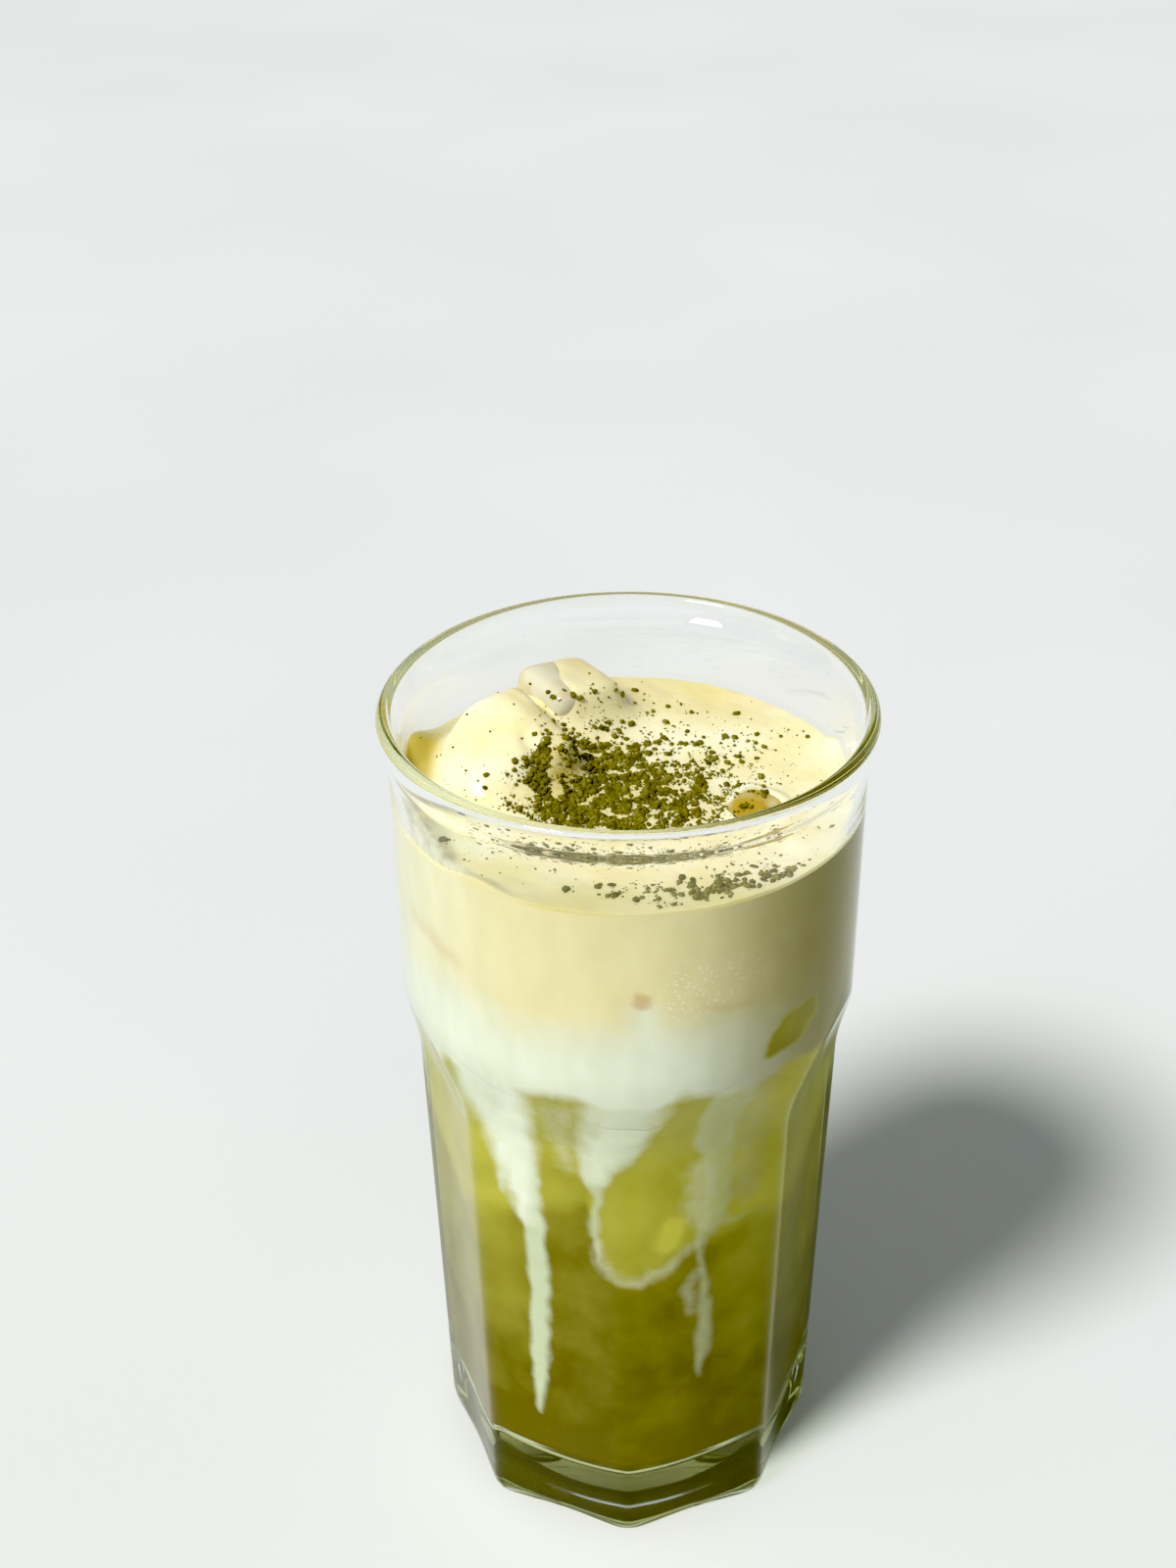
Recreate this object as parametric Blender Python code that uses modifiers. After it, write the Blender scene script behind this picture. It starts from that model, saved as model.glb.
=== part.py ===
"""An iced matcha drink under a cap of soft cream, in a pressed eight-sided tumbler.

The origin is the middle of the tumbler's foot, +Z is up, and one ridge between two facets points along -Y.
Lengths are metres: a value in millimetres is written as a number times MM.
"""

import math
import random
from collections import namedtuple

import bmesh
import bpy
from mathutils import Matrix, Vector, noise

MM = 0.001

# ---- Driving dimensions -------------------------------------------------------------------------
GLASS_HEIGHT = 157.0 * MM
RIM_RADIUS = 41.0 * MM            # the widest point of the rolled lip
LIP_HEIGHT = 5.0 * MM
BODY_RADIUS = 39.5 * MM           # the round wall just under the lip
SHOULDER_RADIUS = 39.0 * MM       # the round wall where the facets begin
RIDGE_TOP_RADIUS = 37.3 * MM      # ridge between two facets, under the shoulder
RIDGE_FOOT_RADIUS = 34.8 * MM     # the same ridge, above the rounded foot
SIDES = 8
FACET_TOP = 106.0 * MM            # highest point of the arch over each facet
ARCH_POWER = 1.4                  # how late the facet swings out to meet the round wall
SHOULDER_TOP = 99.0 * MM          # where a ridge leaves the round wall
SHOULDER_FOOT = 88.0 * MM         # where a ridge has reached its own straight taper
FOOT_HEIGHT = 4.0 * MM            # the rounding under the facets
FOOT_DRAW_IN = 1.8 * MM           # how far that rounding comes in at a ridge, in all
FACET_DRAW_IN = 0.45              # the share of it at the middle of a facet, which rounds the ridges off
FACET_HOLLOW = 0.35 * MM          # each facet is a little dished
FOOT_HOLLOW = 0.5 * MM            # and more so at the foot, which leaves eight lobes
FLOOR_THICKNESS = 11.0 * MM
FLOOR_CORNER = 6.0 * MM           # radius between the inner wall and the floor
PUNT_RADIUS = 25.0 * MM           # the shallow hollow under the foot
PUNT_DEPTH = 1.6 * MM
BORE_FLOOR = 30.2 * MM            # inner radius above the floor corner
BORE_WAIST = 32.2 * MM            # inner radius at SHOULDER_FOOT
BORE_SHOULDER = 36.4 * MM         # inner radius at BORE_SHOULDER_TOP
BORE_SHOULDER_TOP = 109.0 * MM
BORE_LIP = 37.3 * MM              # inner radius under the lip
LIP_WALL = 2.6 * MM               # thickness of the lip

CREAM_LEVEL = 141.0 * MM
CREAM_WAVES = (0.5 * MM, 11.0 * MM)    # height and length of the slow waves in its top
MENISCUS = 0.4 * MM               # how far the cream is drawn up at the glass
MENISCUS_START = 33.5 * MM        # and the radius where that begins
SKIRT_LENGTH = 3.2 * MM           # how far the cream drawn up round an ice cube reaches out

MIX_LEVEL = 107.0 * MM            # where cream gives way to the green drink, in the middle
MIX_WAVES = (1.6 * MM, 14.0 * MM)
MIX_HANG = 6.0 * MM               # it hangs this much lower at the glass, on average
MIX_HANG_START = 18.0 * MM
MIX_LOBES = ((5, 2.6 * MM, 0.6), (8, 1.7 * MM, -1.1))    # lobes round the glass, size, phase
GAP = 0.3 * MM                    # clearance that touching pieces keep

CREAM_RINGS = 14                  # rings of faces on top of the cream
MIX_RINGS = 8                     # and where it meets the drink
COLUMNS = 48                      # columns of faces round the turned pieces, a multiple of SIDES
GLASS_COLOUR = (0.86, 0.91, 0.87)
DRINK_COLOUR = (0.30, 0.27, 0.015)
CREAM_COLOUR = (0.88, 0.80, 0.52)
ICE_COLOUR = (0.80, 0.83, 0.74)

# ---- Ice, and the powder on the cream ------------------------------------------------------------
# turn is about Z and comes first, then lean about X and about Y, in degrees. skirt is how far the
# cream is drawn up round the cube, and seed settles its unevenness.
IceCube = namedtuple("IceCube", "middle edge turn lean skirt seed")
ICE_CUBES = {
    "ice_cube_coated": IceCube((-21.8 * MM, 6.6 * MM, 138.9 * MM), 21.5 * MM, 38.0, (20.0, 0.0), 1.6 * MM, 3),
    "ice_cube_bare": IceCube((-10.9 * MM, 24.6 * MM, 141.4 * MM), 14.4 * MM, 36.0, (-3.0, 8.0), 2.6 * MM, 11),
    "ice_cube_sunk": IceCube((22.0 * MM, -8.0 * MM, 132.2 * MM), 17.0 * MM, -20.0, (11.0, 9.0), 0.0, 23),
}
ICE_POWER = 6.0                   # roundness of a melted cube: 2 is a ball, 20 a sharp cube
ICE_CUTS = 4
ICE_UNEVENNESS = 0.4 * MM
ICE_LUMPS = 1.7                   # how many lumps that makes across a cube
POCKET_CLEARANCE = 0.4 * MM       # between a cube and the cream round it

# Clumps of matcha powder on the cream: a heap in the middle, and a drift against the glass.
# Each has its middle, its spread along X and Y, and its share of the clumps.
POWDER_SEED = 7
POWDER_CLUMPS = 135
Patch = namedtuple("Patch", "middle spread share")
POWDER_PATCHES = (
    Patch((3.0 * MM, -6.0 * MM), (7.6 * MM, 5.6 * MM), 0.62),
    Patch((-3.5 * MM, 7.0 * MM), (3.4 * MM, 6.0 * MM), 0.24),
    Patch((16.0 * MM, -28.6 * MM), (6.0 * MM, 2.0 * MM), 0.14),
)
LOOSENESS = (0.75, 1.0, 1.6)      # a clump lands near its patch's middle, or is flung wider
POWDER_EDGE = 36.0 * MM           # clumps stay inside this radius
CLUMP_RADII = (0.45 * MM, 0.95 * MM)
CLUMP_SQUASH = 0.8
CLUMP_SEAT = 0.15                 # share of its radius that a clump's middle stands above the cream


# ---- Small helpers -----------------------------------------------------------------------------
def share(value, low, high):
    """Where value lies between low and high, from 0 to 1."""
    return min(1.0, max(0.0, (value - low) / (high - low)))


def ease(t):
    return t * t * (3.0 - 2.0 * t)


def mix(a, b, t):
    return a + (b - a) * t


def steps(start, end, count):
    """count values from start to end, both included."""
    return [mix(start, end, i / (count - 1)) for i in range(count)]


def arc(centre, radius, start_deg, end_deg, count):
    """Points (radius, height) along an arc in the turning plane."""
    return [
        (centre[0] + radius * math.cos(math.radians(a)), centre[1] + radius * math.sin(math.radians(a)))
        for a in steps(start_deg, end_deg, count)
    ]


def rolling(x, y, waves):
    """Slow random waves of the given (height, length), the same in every run."""
    return waves[0] * noise.noise(Vector((x, y, waves[1])) / waves[1])


def turn_about(axis, degrees):
    return Matrix.Rotation(math.radians(degrees), 4, axis)


def clear_scene():
    for old in list(bpy.data.objects):
        bpy.data.objects.remove(old)


def make_collection(name, hidden=False):
    collection = bpy.data.collections.new(name)
    bpy.context.scene.collection.children.link(collection)
    collection.hide_render = hidden
    return collection


def make_material(name, colour, roughness, transmission=0.0):
    material = bpy.data.materials.new(name)
    material.use_nodes = True
    shader = material.node_tree.nodes["Principled BSDF"]
    shader.inputs["Base Color"].default_value = (*colour, 1.0)
    shader.inputs["Roughness"].default_value = roughness
    shader.inputs["Metallic"].default_value = 0.0
    shader.inputs["Transmission Weight"].default_value = transmission
    return material


def add_object(name, mesh, collection, material=None):
    thing = bpy.data.objects.new(name, mesh)
    collection.objects.link(thing)
    if material:
        mesh.materials.clear()
        mesh.materials.append(material)
    return thing


def baked(thing):
    """The object with its modifiers turned into plain mesh data."""
    bpy.context.view_layer.update()
    graph = bpy.context.evaluated_depsgraph_get()
    mesh = bpy.data.meshes.new_from_object(thing.evaluated_get(graph))
    collection = thing.users_collection[0]
    name = thing.name
    bpy.data.objects.remove(thing)
    return add_object(name, mesh, collection)


def shade(thing, angle_deg=40.0):
    thing.data.shade_smooth()
    thing.data.set_sharp_from_angle(angle=math.radians(angle_deg))


def turned(name, profile, collection):
    """A solid turned about Z from (radius, height) points that run down the outer side.

    The first and the last point may lie on the axis, where they close the solid.
    """
    mesh = bpy.data.meshes.new(name)
    points = [(radius, 0.0, height) for radius, height in profile]
    mesh.from_pydata(points, [(i, i + 1) for i in range(len(points) - 1)], [])
    thing = add_object(name, mesh, collection)
    screw = thing.modifiers.new("Turn", "SCREW")
    screw.axis = "Z"
    screw.angle = 2.0 * math.pi
    screw.steps = screw.render_steps = COLUMNS
    screw.use_merge_vertices = True
    screw.merge_threshold = 0.01 * MM
    return baked(thing)


def boolean(thing, operation, collection, solver="EXACT"):
    """A Boolean modifier between the object and every object of a collection."""
    modifier = thing.modifiers.new(operation.title(), "BOOLEAN")
    modifier.operation = operation
    modifier.solver = solver
    modifier.operand_type = "COLLECTION"
    modifier.collection = collection


# ---- The tumbler's walls as functions of height ------------------------------------------------
def outer_radius(height):
    """The turned outer wall: the round upper body, and below it the line of the ridges."""
    taper = share(height, FOOT_HEIGHT, SHOULDER_FOOT)
    ridge = mix(RIDGE_FOOT_RADIUS, RIDGE_TOP_RADIUS, taper)
    body = mix(SHOULDER_RADIUS, BODY_RADIUS, share(height, SHOULDER_TOP, GLASS_HEIGHT - LIP_HEIGHT))
    return mix(ridge, body, ease(share(height, SHOULDER_FOOT, SHOULDER_TOP))) - foot_draw_in(height)


def foot_draw_in(height):
    """How far the foot has drawn in at this height: a quarter ellipse."""
    t = 1.0 - share(height, 0.0, FOOT_HEIGHT)
    return FOOT_DRAW_IN * (1.0 - math.sqrt(1.0 - 0.98 * t * t))


def facet_distance(height):
    """From the axis to the middle of a facet. It runs out into the round wall as an arch."""
    narrowing = math.cos(math.pi / SIDES)
    taper = share(height, FOOT_HEIGHT, SHOULDER_FOOT)
    flat = mix(RIDGE_FOOT_RADIUS, RIDGE_TOP_RADIUS, taper) * narrowing
    run_out = outer_radius(FACET_TOP) - RIDGE_TOP_RADIUS * narrowing
    arch = run_out * share(height, SHOULDER_FOOT, FACET_TOP) ** ARCH_POWER
    return flat + arch - FACET_DRAW_IN * foot_draw_in(height)


def facet_hollow(height):
    foot = 1.0 - share(height, 0.0, 4.0 * FOOT_HEIGHT)
    return mix(FACET_HOLLOW, FOOT_HOLLOW, ease(foot)) * (1.0 - share(height, SHOULDER_FOOT, FACET_TOP))


def inner_radius(height):
    """The smooth bore, without the corner at the floor and the lip."""
    if height < SHOULDER_FOOT:
        return mix(BORE_FLOOR, BORE_WAIST, share(height, FLOOR_THICKNESS, SHOULDER_FOOT))
    if height < BORE_SHOULDER_TOP:
        return mix(BORE_WAIST, BORE_SHOULDER, ease(share(height, SHOULDER_FOOT, BORE_SHOULDER_TOP)))
    return mix(BORE_SHOULDER, BORE_LIP, share(height, BORE_SHOULDER_TOP, GLASS_HEIGHT - LIP_HEIGHT))


def floor_corner(clearance=0.0):
    """The round corner between the bore and the floor, as (radius, height) points going down."""
    radius = FLOOR_CORNER - clearance
    centre = (BORE_FLOOR - FLOOR_CORNER, FLOOR_THICKNESS + FLOOR_CORNER)
    return arc(centre, radius, 0.0, -90.0, 5)


def glass_profile():
    """The whole wall in one line: from the middle of the foot out, up, over the lip, in and down."""
    wall_top = GLASS_HEIGHT - LIP_HEIGHT
    lip_middle = RIM_RADIUS - LIP_WALL / 2.0
    underside = [(0.0, PUNT_DEPTH), (PUNT_RADIUS * 0.86, PUNT_DEPTH), (PUNT_RADIUS, 0.0)]
    heights = [0.0, 0.12 * FOOT_HEIGHT, 0.4 * FOOT_HEIGHT, FOOT_HEIGHT, 4.0 * FOOT_HEIGHT]
    heights += steps(50.0 * MM, SHOULDER_FOOT, 2) + steps(SHOULDER_FOOT, FACET_TOP, 9)[1:]
    heights += [130.0 * MM, wall_top - 2.0 * MM]
    outside = [(outer_radius(height), height) for height in heights]
    lip_side = [(BODY_RADIUS + 0.5 * MM, wall_top), (RIM_RADIUS - 0.2 * MM, wall_top + 1.2 * MM)]
    lip_top = arc((lip_middle, GLASS_HEIGHT - LIP_WALL / 2.0), LIP_WALL / 2.0, 0.0, 180.0, 7)
    bore_heights = [wall_top - 2.0 * MM, 128.0 * MM] + steps(BORE_SHOULDER_TOP, SHOULDER_FOOT, 6)
    inside = [(inner_radius(height), height) for height in bore_heights]
    return underside + outside + lip_side + lip_top + inside + floor_corner() + [(0.0, FLOOR_THICKNESS)]


def press_facets(thing):
    """Pushes the turned wall in to the eight facets, as the mould does."""
    sector = 2.0 * math.pi / SIDES
    for vertex in thing.data.vertices:
        radius = math.hypot(vertex.co.x, vertex.co.y)
        height = vertex.co.z
        if radius < PUNT_RADIUS or height > FACET_TOP:
            continue
        from_ridge = (math.atan2(vertex.co.y, vertex.co.x) + math.pi / 2.0) % sector
        from_middle = from_ridge - sector / 2.0
        dish = facet_hollow(height) * math.cos(from_middle * SIDES / 2.0)
        pressed = facet_distance(height) / math.cos(from_middle) - dish
        if pressed < radius:
            vertex.co.x *= pressed / radius
            vertex.co.y *= pressed / radius


def build_tumbler(parts):
    # The profile runs up the outer side, so it is reversed: Screw wants it top to bottom.
    glass = turned("tumbler", list(reversed(glass_profile())), parts)
    press_facets(glass)
    glass.data.materials.append(make_material("soda_glass", GLASS_COLOUR, 0.03, transmission=0.9))
    shade(glass, 25.0)
    return glass


# ---- Drink and cream ---------------------------------------------------------------------------
def mix_height(x, y):
    """The uneven boundary between cream and drink. It hangs lower at the wall, in lobes."""
    at_wall = ease(share(math.hypot(x, y), MIX_HANG_START, BORE_WAIST))
    turn = math.atan2(x, -y)
    hang = MIX_HANG + sum(size * math.cos(count * turn + phase) for count, size, phase in MIX_LOBES)
    return MIX_LEVEL + rolling(x, y, MIX_WAVES) - at_wall * hang


def cream_height(x, y):
    """The cream's top: nearly level, drawn up at the glass and round the ice, with slow waves."""
    at_glass = MENISCUS * ease(share(math.hypot(x, y), MENISCUS_START, BORE_LIP))
    skirts = [0.0]
    for cube in ICE_CUBES.values():
        beyond = max(math.hypot(x - cube.middle[0], y - cube.middle[1]) - cube.edge / 2.0, 0.0)
        skirts.append(cube.skirt * math.exp(-(beyond / SKIRT_LENGTH) ** 2))
    return CREAM_LEVEL + rolling(x, y, CREAM_WAVES) + at_glass + max(skirts)


def fill_radius(height):
    return inner_radius(height) - GAP


def mix_rings():
    """Radii from the wall to the axis, shared by the two faces that meet, so that their gap is even."""
    return steps(fill_radius(MIX_LEVEL) + 1.0 * MM, 0.0, MIX_RINGS)


def shape_level(thing, level, height_at, clearance):
    """Moves each vertex made at this level to the height of a surface, and keeps it off the wall."""
    for vertex in thing.data.vertices:
        if abs(vertex.co.z - level) > 0.001 * MM:
            continue
        surface = height_at(vertex.co.x, vertex.co.y)
        inwards = min(1.0, fill_radius(surface) / max(math.hypot(vertex.co.x, vertex.co.y), GAP))
        vertex.co = (vertex.co.x * inwards, vertex.co.y * inwards, surface + clearance)


def split_alike(thing):
    """Splits faces along their short diagonals, so that two faces that meet keep an even gap."""
    form = bmesh.new()
    form.from_mesh(thing.data)
    bmesh.ops.triangulate(form, faces=form.faces, quad_method="SHORT_EDGE")
    form.to_mesh(thing.data)
    form.free()


def build_drink(parts):
    level = MIX_LEVEL + 3.0 * MM
    surface = [(radius, level) for radius in reversed(mix_rings())]
    side = [(fill_radius(height), height) for height in (92.0 * MM, 84.0 * MM, 50.0 * MM)]
    floor = floor_corner(clearance=GAP) + [(0.0, FLOOR_THICKNESS + GAP)]
    drink = turned("matcha_drink", surface + side + floor, parts)
    shape_level(drink, level, mix_height, -GAP / 2.0)
    split_alike(drink)
    drink.data.materials.append(make_material("green_tea", DRINK_COLOUR, 0.05, transmission=0.3))
    shade(drink)
    return drink


def build_cream(parts):
    top, bottom = CREAM_LEVEL + 5.0 * MM, MIX_LEVEL - 9.0 * MM
    surface = [(radius, top) for radius in steps(0.0, fill_radius(top), CREAM_RINGS)]
    side_heights = (136.0 * MM, 122.0 * MM, BORE_SHOULDER_TOP + 2.0 * MM)
    side = [(fill_radius(height), height) for height in side_heights]
    underneath = [(radius, bottom) for radius in mix_rings()]
    cream = turned("cream_cap", surface + side + underneath, parts)
    shape_level(cream, top, cream_height, 0.0)
    shape_level(cream, bottom, mix_height, GAP / 2.0)
    split_alike(cream)
    cream.data.materials.append(make_material("sweet_cream", CREAM_COLOUR, 0.35))
    return cream


# ---- Ice ---------------------------------------------------------------------------------------
def build_ice(name, collection, material=None, grown=0.0):
    """A cube that has begun to melt: rounded edges and slightly uneven sides."""
    cube = ICE_CUBES[name]
    form = bmesh.new()
    bmesh.ops.create_cube(form, size=2.0)
    bmesh.ops.subdivide_edges(form, edges=form.edges, cuts=ICE_CUTS, use_grid_fill=True)
    shift = Vector((cube.seed, -cube.seed, 2.0 * cube.seed))
    for vertex in form.verts:
        direction = vertex.co.normalized()
        size = sum(abs(part) ** ICE_POWER for part in direction) ** (-1.0 / ICE_POWER)
        uneven = ICE_UNEVENNESS * noise.noise(ICE_LUMPS * direction + shift)
        vertex.co = direction * (size * cube.edge / 2.0 + uneven + grown)
    mesh = bpy.data.meshes.new(name)
    form.to_mesh(mesh)
    form.free()
    ice = add_object(name, mesh, collection, material)
    lean = turn_about("Y", cube.lean[1]) @ turn_about("X", cube.lean[0])
    ice.matrix_world = Matrix.Translation(cube.middle) @ lean @ turn_about("Z", cube.turn)
    shade(ice, 60.0)
    return ice


# ---- Matcha powder -----------------------------------------------------------------------------
def on_ice(x, y, margin):
    """Whether a point of the cream lies on one of the ice cubes, or within a margin of it."""
    for cube in ICE_CUBES.values():
        offset = Vector((x - cube.middle[0], y - cube.middle[1], 0.0))
        across = turn_about("Z", -cube.turn) @ offset
        if max(abs(across.x), abs(across.y)) < cube.edge / 2.0 + margin:
            return True
    return False


def powder_places():
    """Middles and radii of the clumps: dense in the middle, thinning out, none touching another."""
    draw = random.Random(POWDER_SEED)
    shares = [patch.share for patch in POWDER_PATCHES]
    placed = []
    while len(placed) < POWDER_CLUMPS:
        patch = draw.choices(POWDER_PATCHES, shares)[0]
        looseness = draw.choice(LOOSENESS)
        x = draw.gauss(patch.middle[0], patch.spread[0] * looseness)
        y = draw.gauss(patch.middle[1], patch.spread[1] * looseness)
        radius = mix(*CLUMP_RADII, draw.random() ** 2 / looseness)
        if math.hypot(x, y) + radius > POWDER_EDGE or on_ice(x, y, radius + 1.0 * MM):
            continue
        if all(math.hypot(x - a, y - b) > 1.08 * (radius + r) for a, b, r in placed):
            placed.append((x, y, radius))
    return placed


def build_powder(collection):
    draw = random.Random(POWDER_SEED + 1)
    for number, (x, y, radius) in enumerate(powder_places()):
        clump = bmesh.new()
        bmesh.ops.create_icosphere(clump, subdivisions=1, radius=radius)
        for vertex in clump.verts:
            vertex.co *= draw.uniform(0.82, 1.1)
        squash = Matrix.Diagonal((draw.uniform(0.85, 1.1), draw.uniform(0.85, 1.1), CLUMP_SQUASH, 1.0))
        seat = Matrix.Translation((x, y, cream_height(x, y) + CLUMP_SEAT * radius))
        place = seat @ turn_about("Z", draw.uniform(0.0, 360.0)) @ squash
        bmesh.ops.transform(clump, matrix=place, verts=clump.verts)
        mesh = bpy.data.meshes.new(f"clump_{number}")
        clump.to_mesh(mesh)
        clump.free()
        add_object(mesh.name, mesh, collection)


def discard(collection):
    for thing in list(collection.objects):
        bpy.data.objects.remove(thing)
    bpy.data.collections.remove(collection)


def main():
    clear_scene()
    parts = make_collection("iced_matcha_tonic")
    build_tumbler(parts)
    build_drink(parts)
    cream = build_cream(parts)

    clear = make_material("clear_ice", ICE_COLOUR, 0.12, transmission=0.6)
    coat = make_material("cream_coat", CREAM_COLOUR, 0.35)
    pockets = make_collection("cutters", hidden=True)
    for name in ICE_CUBES:
        build_ice(name, parts, coat if name == "ice_cube_coated" else clear)
        pocket = build_ice(name, pockets, grown=POCKET_CLEARANCE)
        pocket.display_type = "WIRE"
    powder = make_collection("powder", hidden=True)
    build_powder(powder)

    boolean(cream, "DIFFERENCE", pockets)
    boolean(cream, "UNION", powder, solver="MANIFOLD")
    cream = baked(cream)
    shade(cream)
    discard(pockets)
    discard(powder)


main()
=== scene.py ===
# %% [markdown]
# # An iced matcha drink with a cap of cream, in an eight-sided tumbler
#
# The drink is built the way it is made. A pressed glass comes first, then the green drink that fills
# it, the cream that floats on top, the ice that sticks out and the powder that is sifted over it.
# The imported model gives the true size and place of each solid. This lesson turns each of them into a
# finer mesh with a finish of its own.
#
# The frame has its origin in the middle of the foot, +Z is up, and -Y is the side that faces us.

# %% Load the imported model
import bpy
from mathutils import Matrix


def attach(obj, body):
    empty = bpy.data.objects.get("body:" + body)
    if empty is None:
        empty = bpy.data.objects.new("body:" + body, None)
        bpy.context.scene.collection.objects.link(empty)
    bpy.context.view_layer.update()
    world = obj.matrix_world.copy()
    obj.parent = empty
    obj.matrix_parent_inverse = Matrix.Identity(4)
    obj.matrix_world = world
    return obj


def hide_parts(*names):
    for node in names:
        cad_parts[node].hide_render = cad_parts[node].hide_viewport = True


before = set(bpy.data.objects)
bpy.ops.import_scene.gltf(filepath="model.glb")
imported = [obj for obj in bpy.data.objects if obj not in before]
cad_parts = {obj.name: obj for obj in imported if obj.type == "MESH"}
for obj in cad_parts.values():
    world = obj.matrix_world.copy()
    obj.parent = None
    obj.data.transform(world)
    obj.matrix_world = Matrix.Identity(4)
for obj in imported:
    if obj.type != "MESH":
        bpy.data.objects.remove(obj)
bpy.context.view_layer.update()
print("packed nodes:", sorted(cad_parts))

# %% Blender's modules, and a few small helpers
import math
import random
from collections import namedtuple

import bmesh
import bpy
import numpy as np
from mathutils import Matrix, Vector, noise
from mathutils.bvhtree import BVHTree

MM = 0.001
NO_LENGTH = 0.001 * MM            # shorter than anything here


def share(value, low, high):
    """Where value lies between low and high, from 0 to 1. Numbers and arrays both work."""
    return np.clip((value - low) / (high - low), 0.0, 1.0)


def ease(t):
    """A soft start and a soft end, for t from 0 to 1."""
    return t * t * (3.0 - 2.0 * t)


def mix(a, b, t):
    return a + (b - a) * t


def steps(start, end, count):
    """count values from start to end, both included."""
    return [mix(start, end, i / (count - 1)) for i in range(count)]


def arc(centre, radius, start_deg, end_deg, count):
    """Points (radius, height) along an arc in the turning plane."""
    angles = [math.radians(a) for a in steps(start_deg, end_deg, count)]
    return [(centre[0] + radius * math.cos(a), centre[1] + radius * math.sin(a)) for a in angles]


def turn_about(axis, degrees):
    return Matrix.Rotation(math.radians(degrees), 4, axis)


def waves(places, height, length, shift=0.0):
    """Slow random waves at many places at once, the same in every run."""
    offset = Vector((shift, -shift, 2.0 * shift))
    return height * np.array([noise.noise(Vector(p) / length + offset) for p in places])


# %% [markdown]
# ## Turning a profile
#
# A glass, and all that fills it, is a turned shape: one outline carried round the upright axis. The
# Screw modifier could do that, or a lathe made from a curve. Here the spin operator turns a row of
# vertices. After a full turn the pole is merged and the faces are turned outwards. The vertices are
# then moved all at once by a rule on their places, which is how the press pushes the facets in.

# %% A helper that turns a profile, one that moves vertices, and one that keeps the finished piece
def spun(name, profile, columns):
    """A mesh turned about Z from (radius, height) points."""
    form = bmesh.new()
    line = [form.verts.new((radius, 0.0, height)) for radius, height in profile]
    edges = [form.edges.new(pair) for pair in zip(line, line[1:])]
    bmesh.ops.spin(form, geom=line + edges, cent=(0.0, 0.0, 0.0), axis=(0.0, 0.0, 1.0),
                   angle=2.0 * math.pi, steps=columns, use_merge=True)
    bmesh.ops.remove_doubles(form, verts=form.verts, dist=NO_LENGTH)
    bmesh.ops.recalc_face_normals(form, faces=form.faces)
    return as_mesh(form, name)


def as_mesh(form, name):
    mesh = bpy.data.meshes.new(name)
    form.to_mesh(mesh)
    form.free()
    return mesh


def places_of(mesh):
    """The places of a mesh's vertices, one row each."""
    places = np.empty(len(mesh.vertices) * 3)
    mesh.vertices.foreach_get("co", places)
    return places.reshape(-1, 3)


def place_vertices(mesh, places):
    mesh.vertices.foreach_set("co", places.ravel())
    mesh.update()


def store(mesh, name, values):
    """Keeps one number for each vertex, which a material can read by this name."""
    layer = mesh.attributes.new(name, "FLOAT", "POINT")
    layer.data.foreach_set("value", np.asarray(values, np.float32))


def shown(mesh, *materials):
    """The mesh as a smooth piece of the scene, riding on the drink's body."""
    mesh.shade_smooth()
    for material in materials:
        mesh.materials.append(material)
    piece = bpy.data.objects.new(mesh.name, mesh)
    bpy.context.scene.collection.objects.link(piece)
    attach(piece, "root")
    print(f"{mesh.name}: {len(mesh.vertices)} vertices, {len(mesh.polygons)} faces")
    return piece


def around_and_out(places):
    """For each place, its angle round the glass in degrees (0 faces us, 90 is our right) and its radius."""
    angle = np.degrees(np.arctan2(places[:, 0], -places[:, 1]))
    return angle, np.hypot(places[:, 0], places[:, 1])


# %% [markdown]
# ## Colours and material nodes
#
# Colours are written as sRGB hex values, as a paint chart gives them, and one function turns them
# into the linear values that Blender computes with. One small function adds a node with its settings
# and links, so that each material below reads as a short recipe.

# %% Colour and node helpers
def linear(hexcode, alpha=1.0):
    """An sRGB hex colour as linear RGBA."""
    parts = [int(hexcode[i:i + 2], 16) / 255.0 for i in (0, 2, 4)]
    return (*[c / 12.92 if c <= 0.04045 else ((c + 0.055) / 1.055) ** 2.4 for c in parts], alpha)


def node(tree, kind, settings=None, **inputs):
    """Adds a shader node and returns it.

    An input is named by its label, or by its number as i0, i1 and so on. It takes a number, a hex
    colour, a socket to link from, or a node, whose first live output is linked.
    """
    made = tree.nodes.new("ShaderNode" + kind)
    for key, value in (settings or {}).items():
        setattr(made, key, value)
    for key, value in inputs.items():
        numbered = key[0] == "i" and key[1:].isdigit()
        socket = made.inputs[int(key[1:])] if numbered else made.inputs[key.replace("_", " ")]
        if isinstance(value, bpy.types.Node):
            value = next(output for output in value.outputs if output.enabled)
        if isinstance(value, bpy.types.NodeSocket):
            tree.links.new(value, socket)
        else:
            socket.default_value = linear(value) if isinstance(value, str) else value
    return made


def new_material(name):
    """An empty material: itself, its node tree and the place of each point on the piece."""
    material = bpy.data.materials.new(name)
    material.use_nodes = True
    tree = material.node_tree
    tree.nodes.clear()
    return material, tree, node(tree, "TexCoord").outputs["Object"]


def finish(tree, surface, volume=None):
    """Links the finished shader to the material's output."""
    links = {"Surface": surface} if volume is None else {"Surface": surface, "Volume": volume}
    node(tree, "OutputMaterial", **links)


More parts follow.
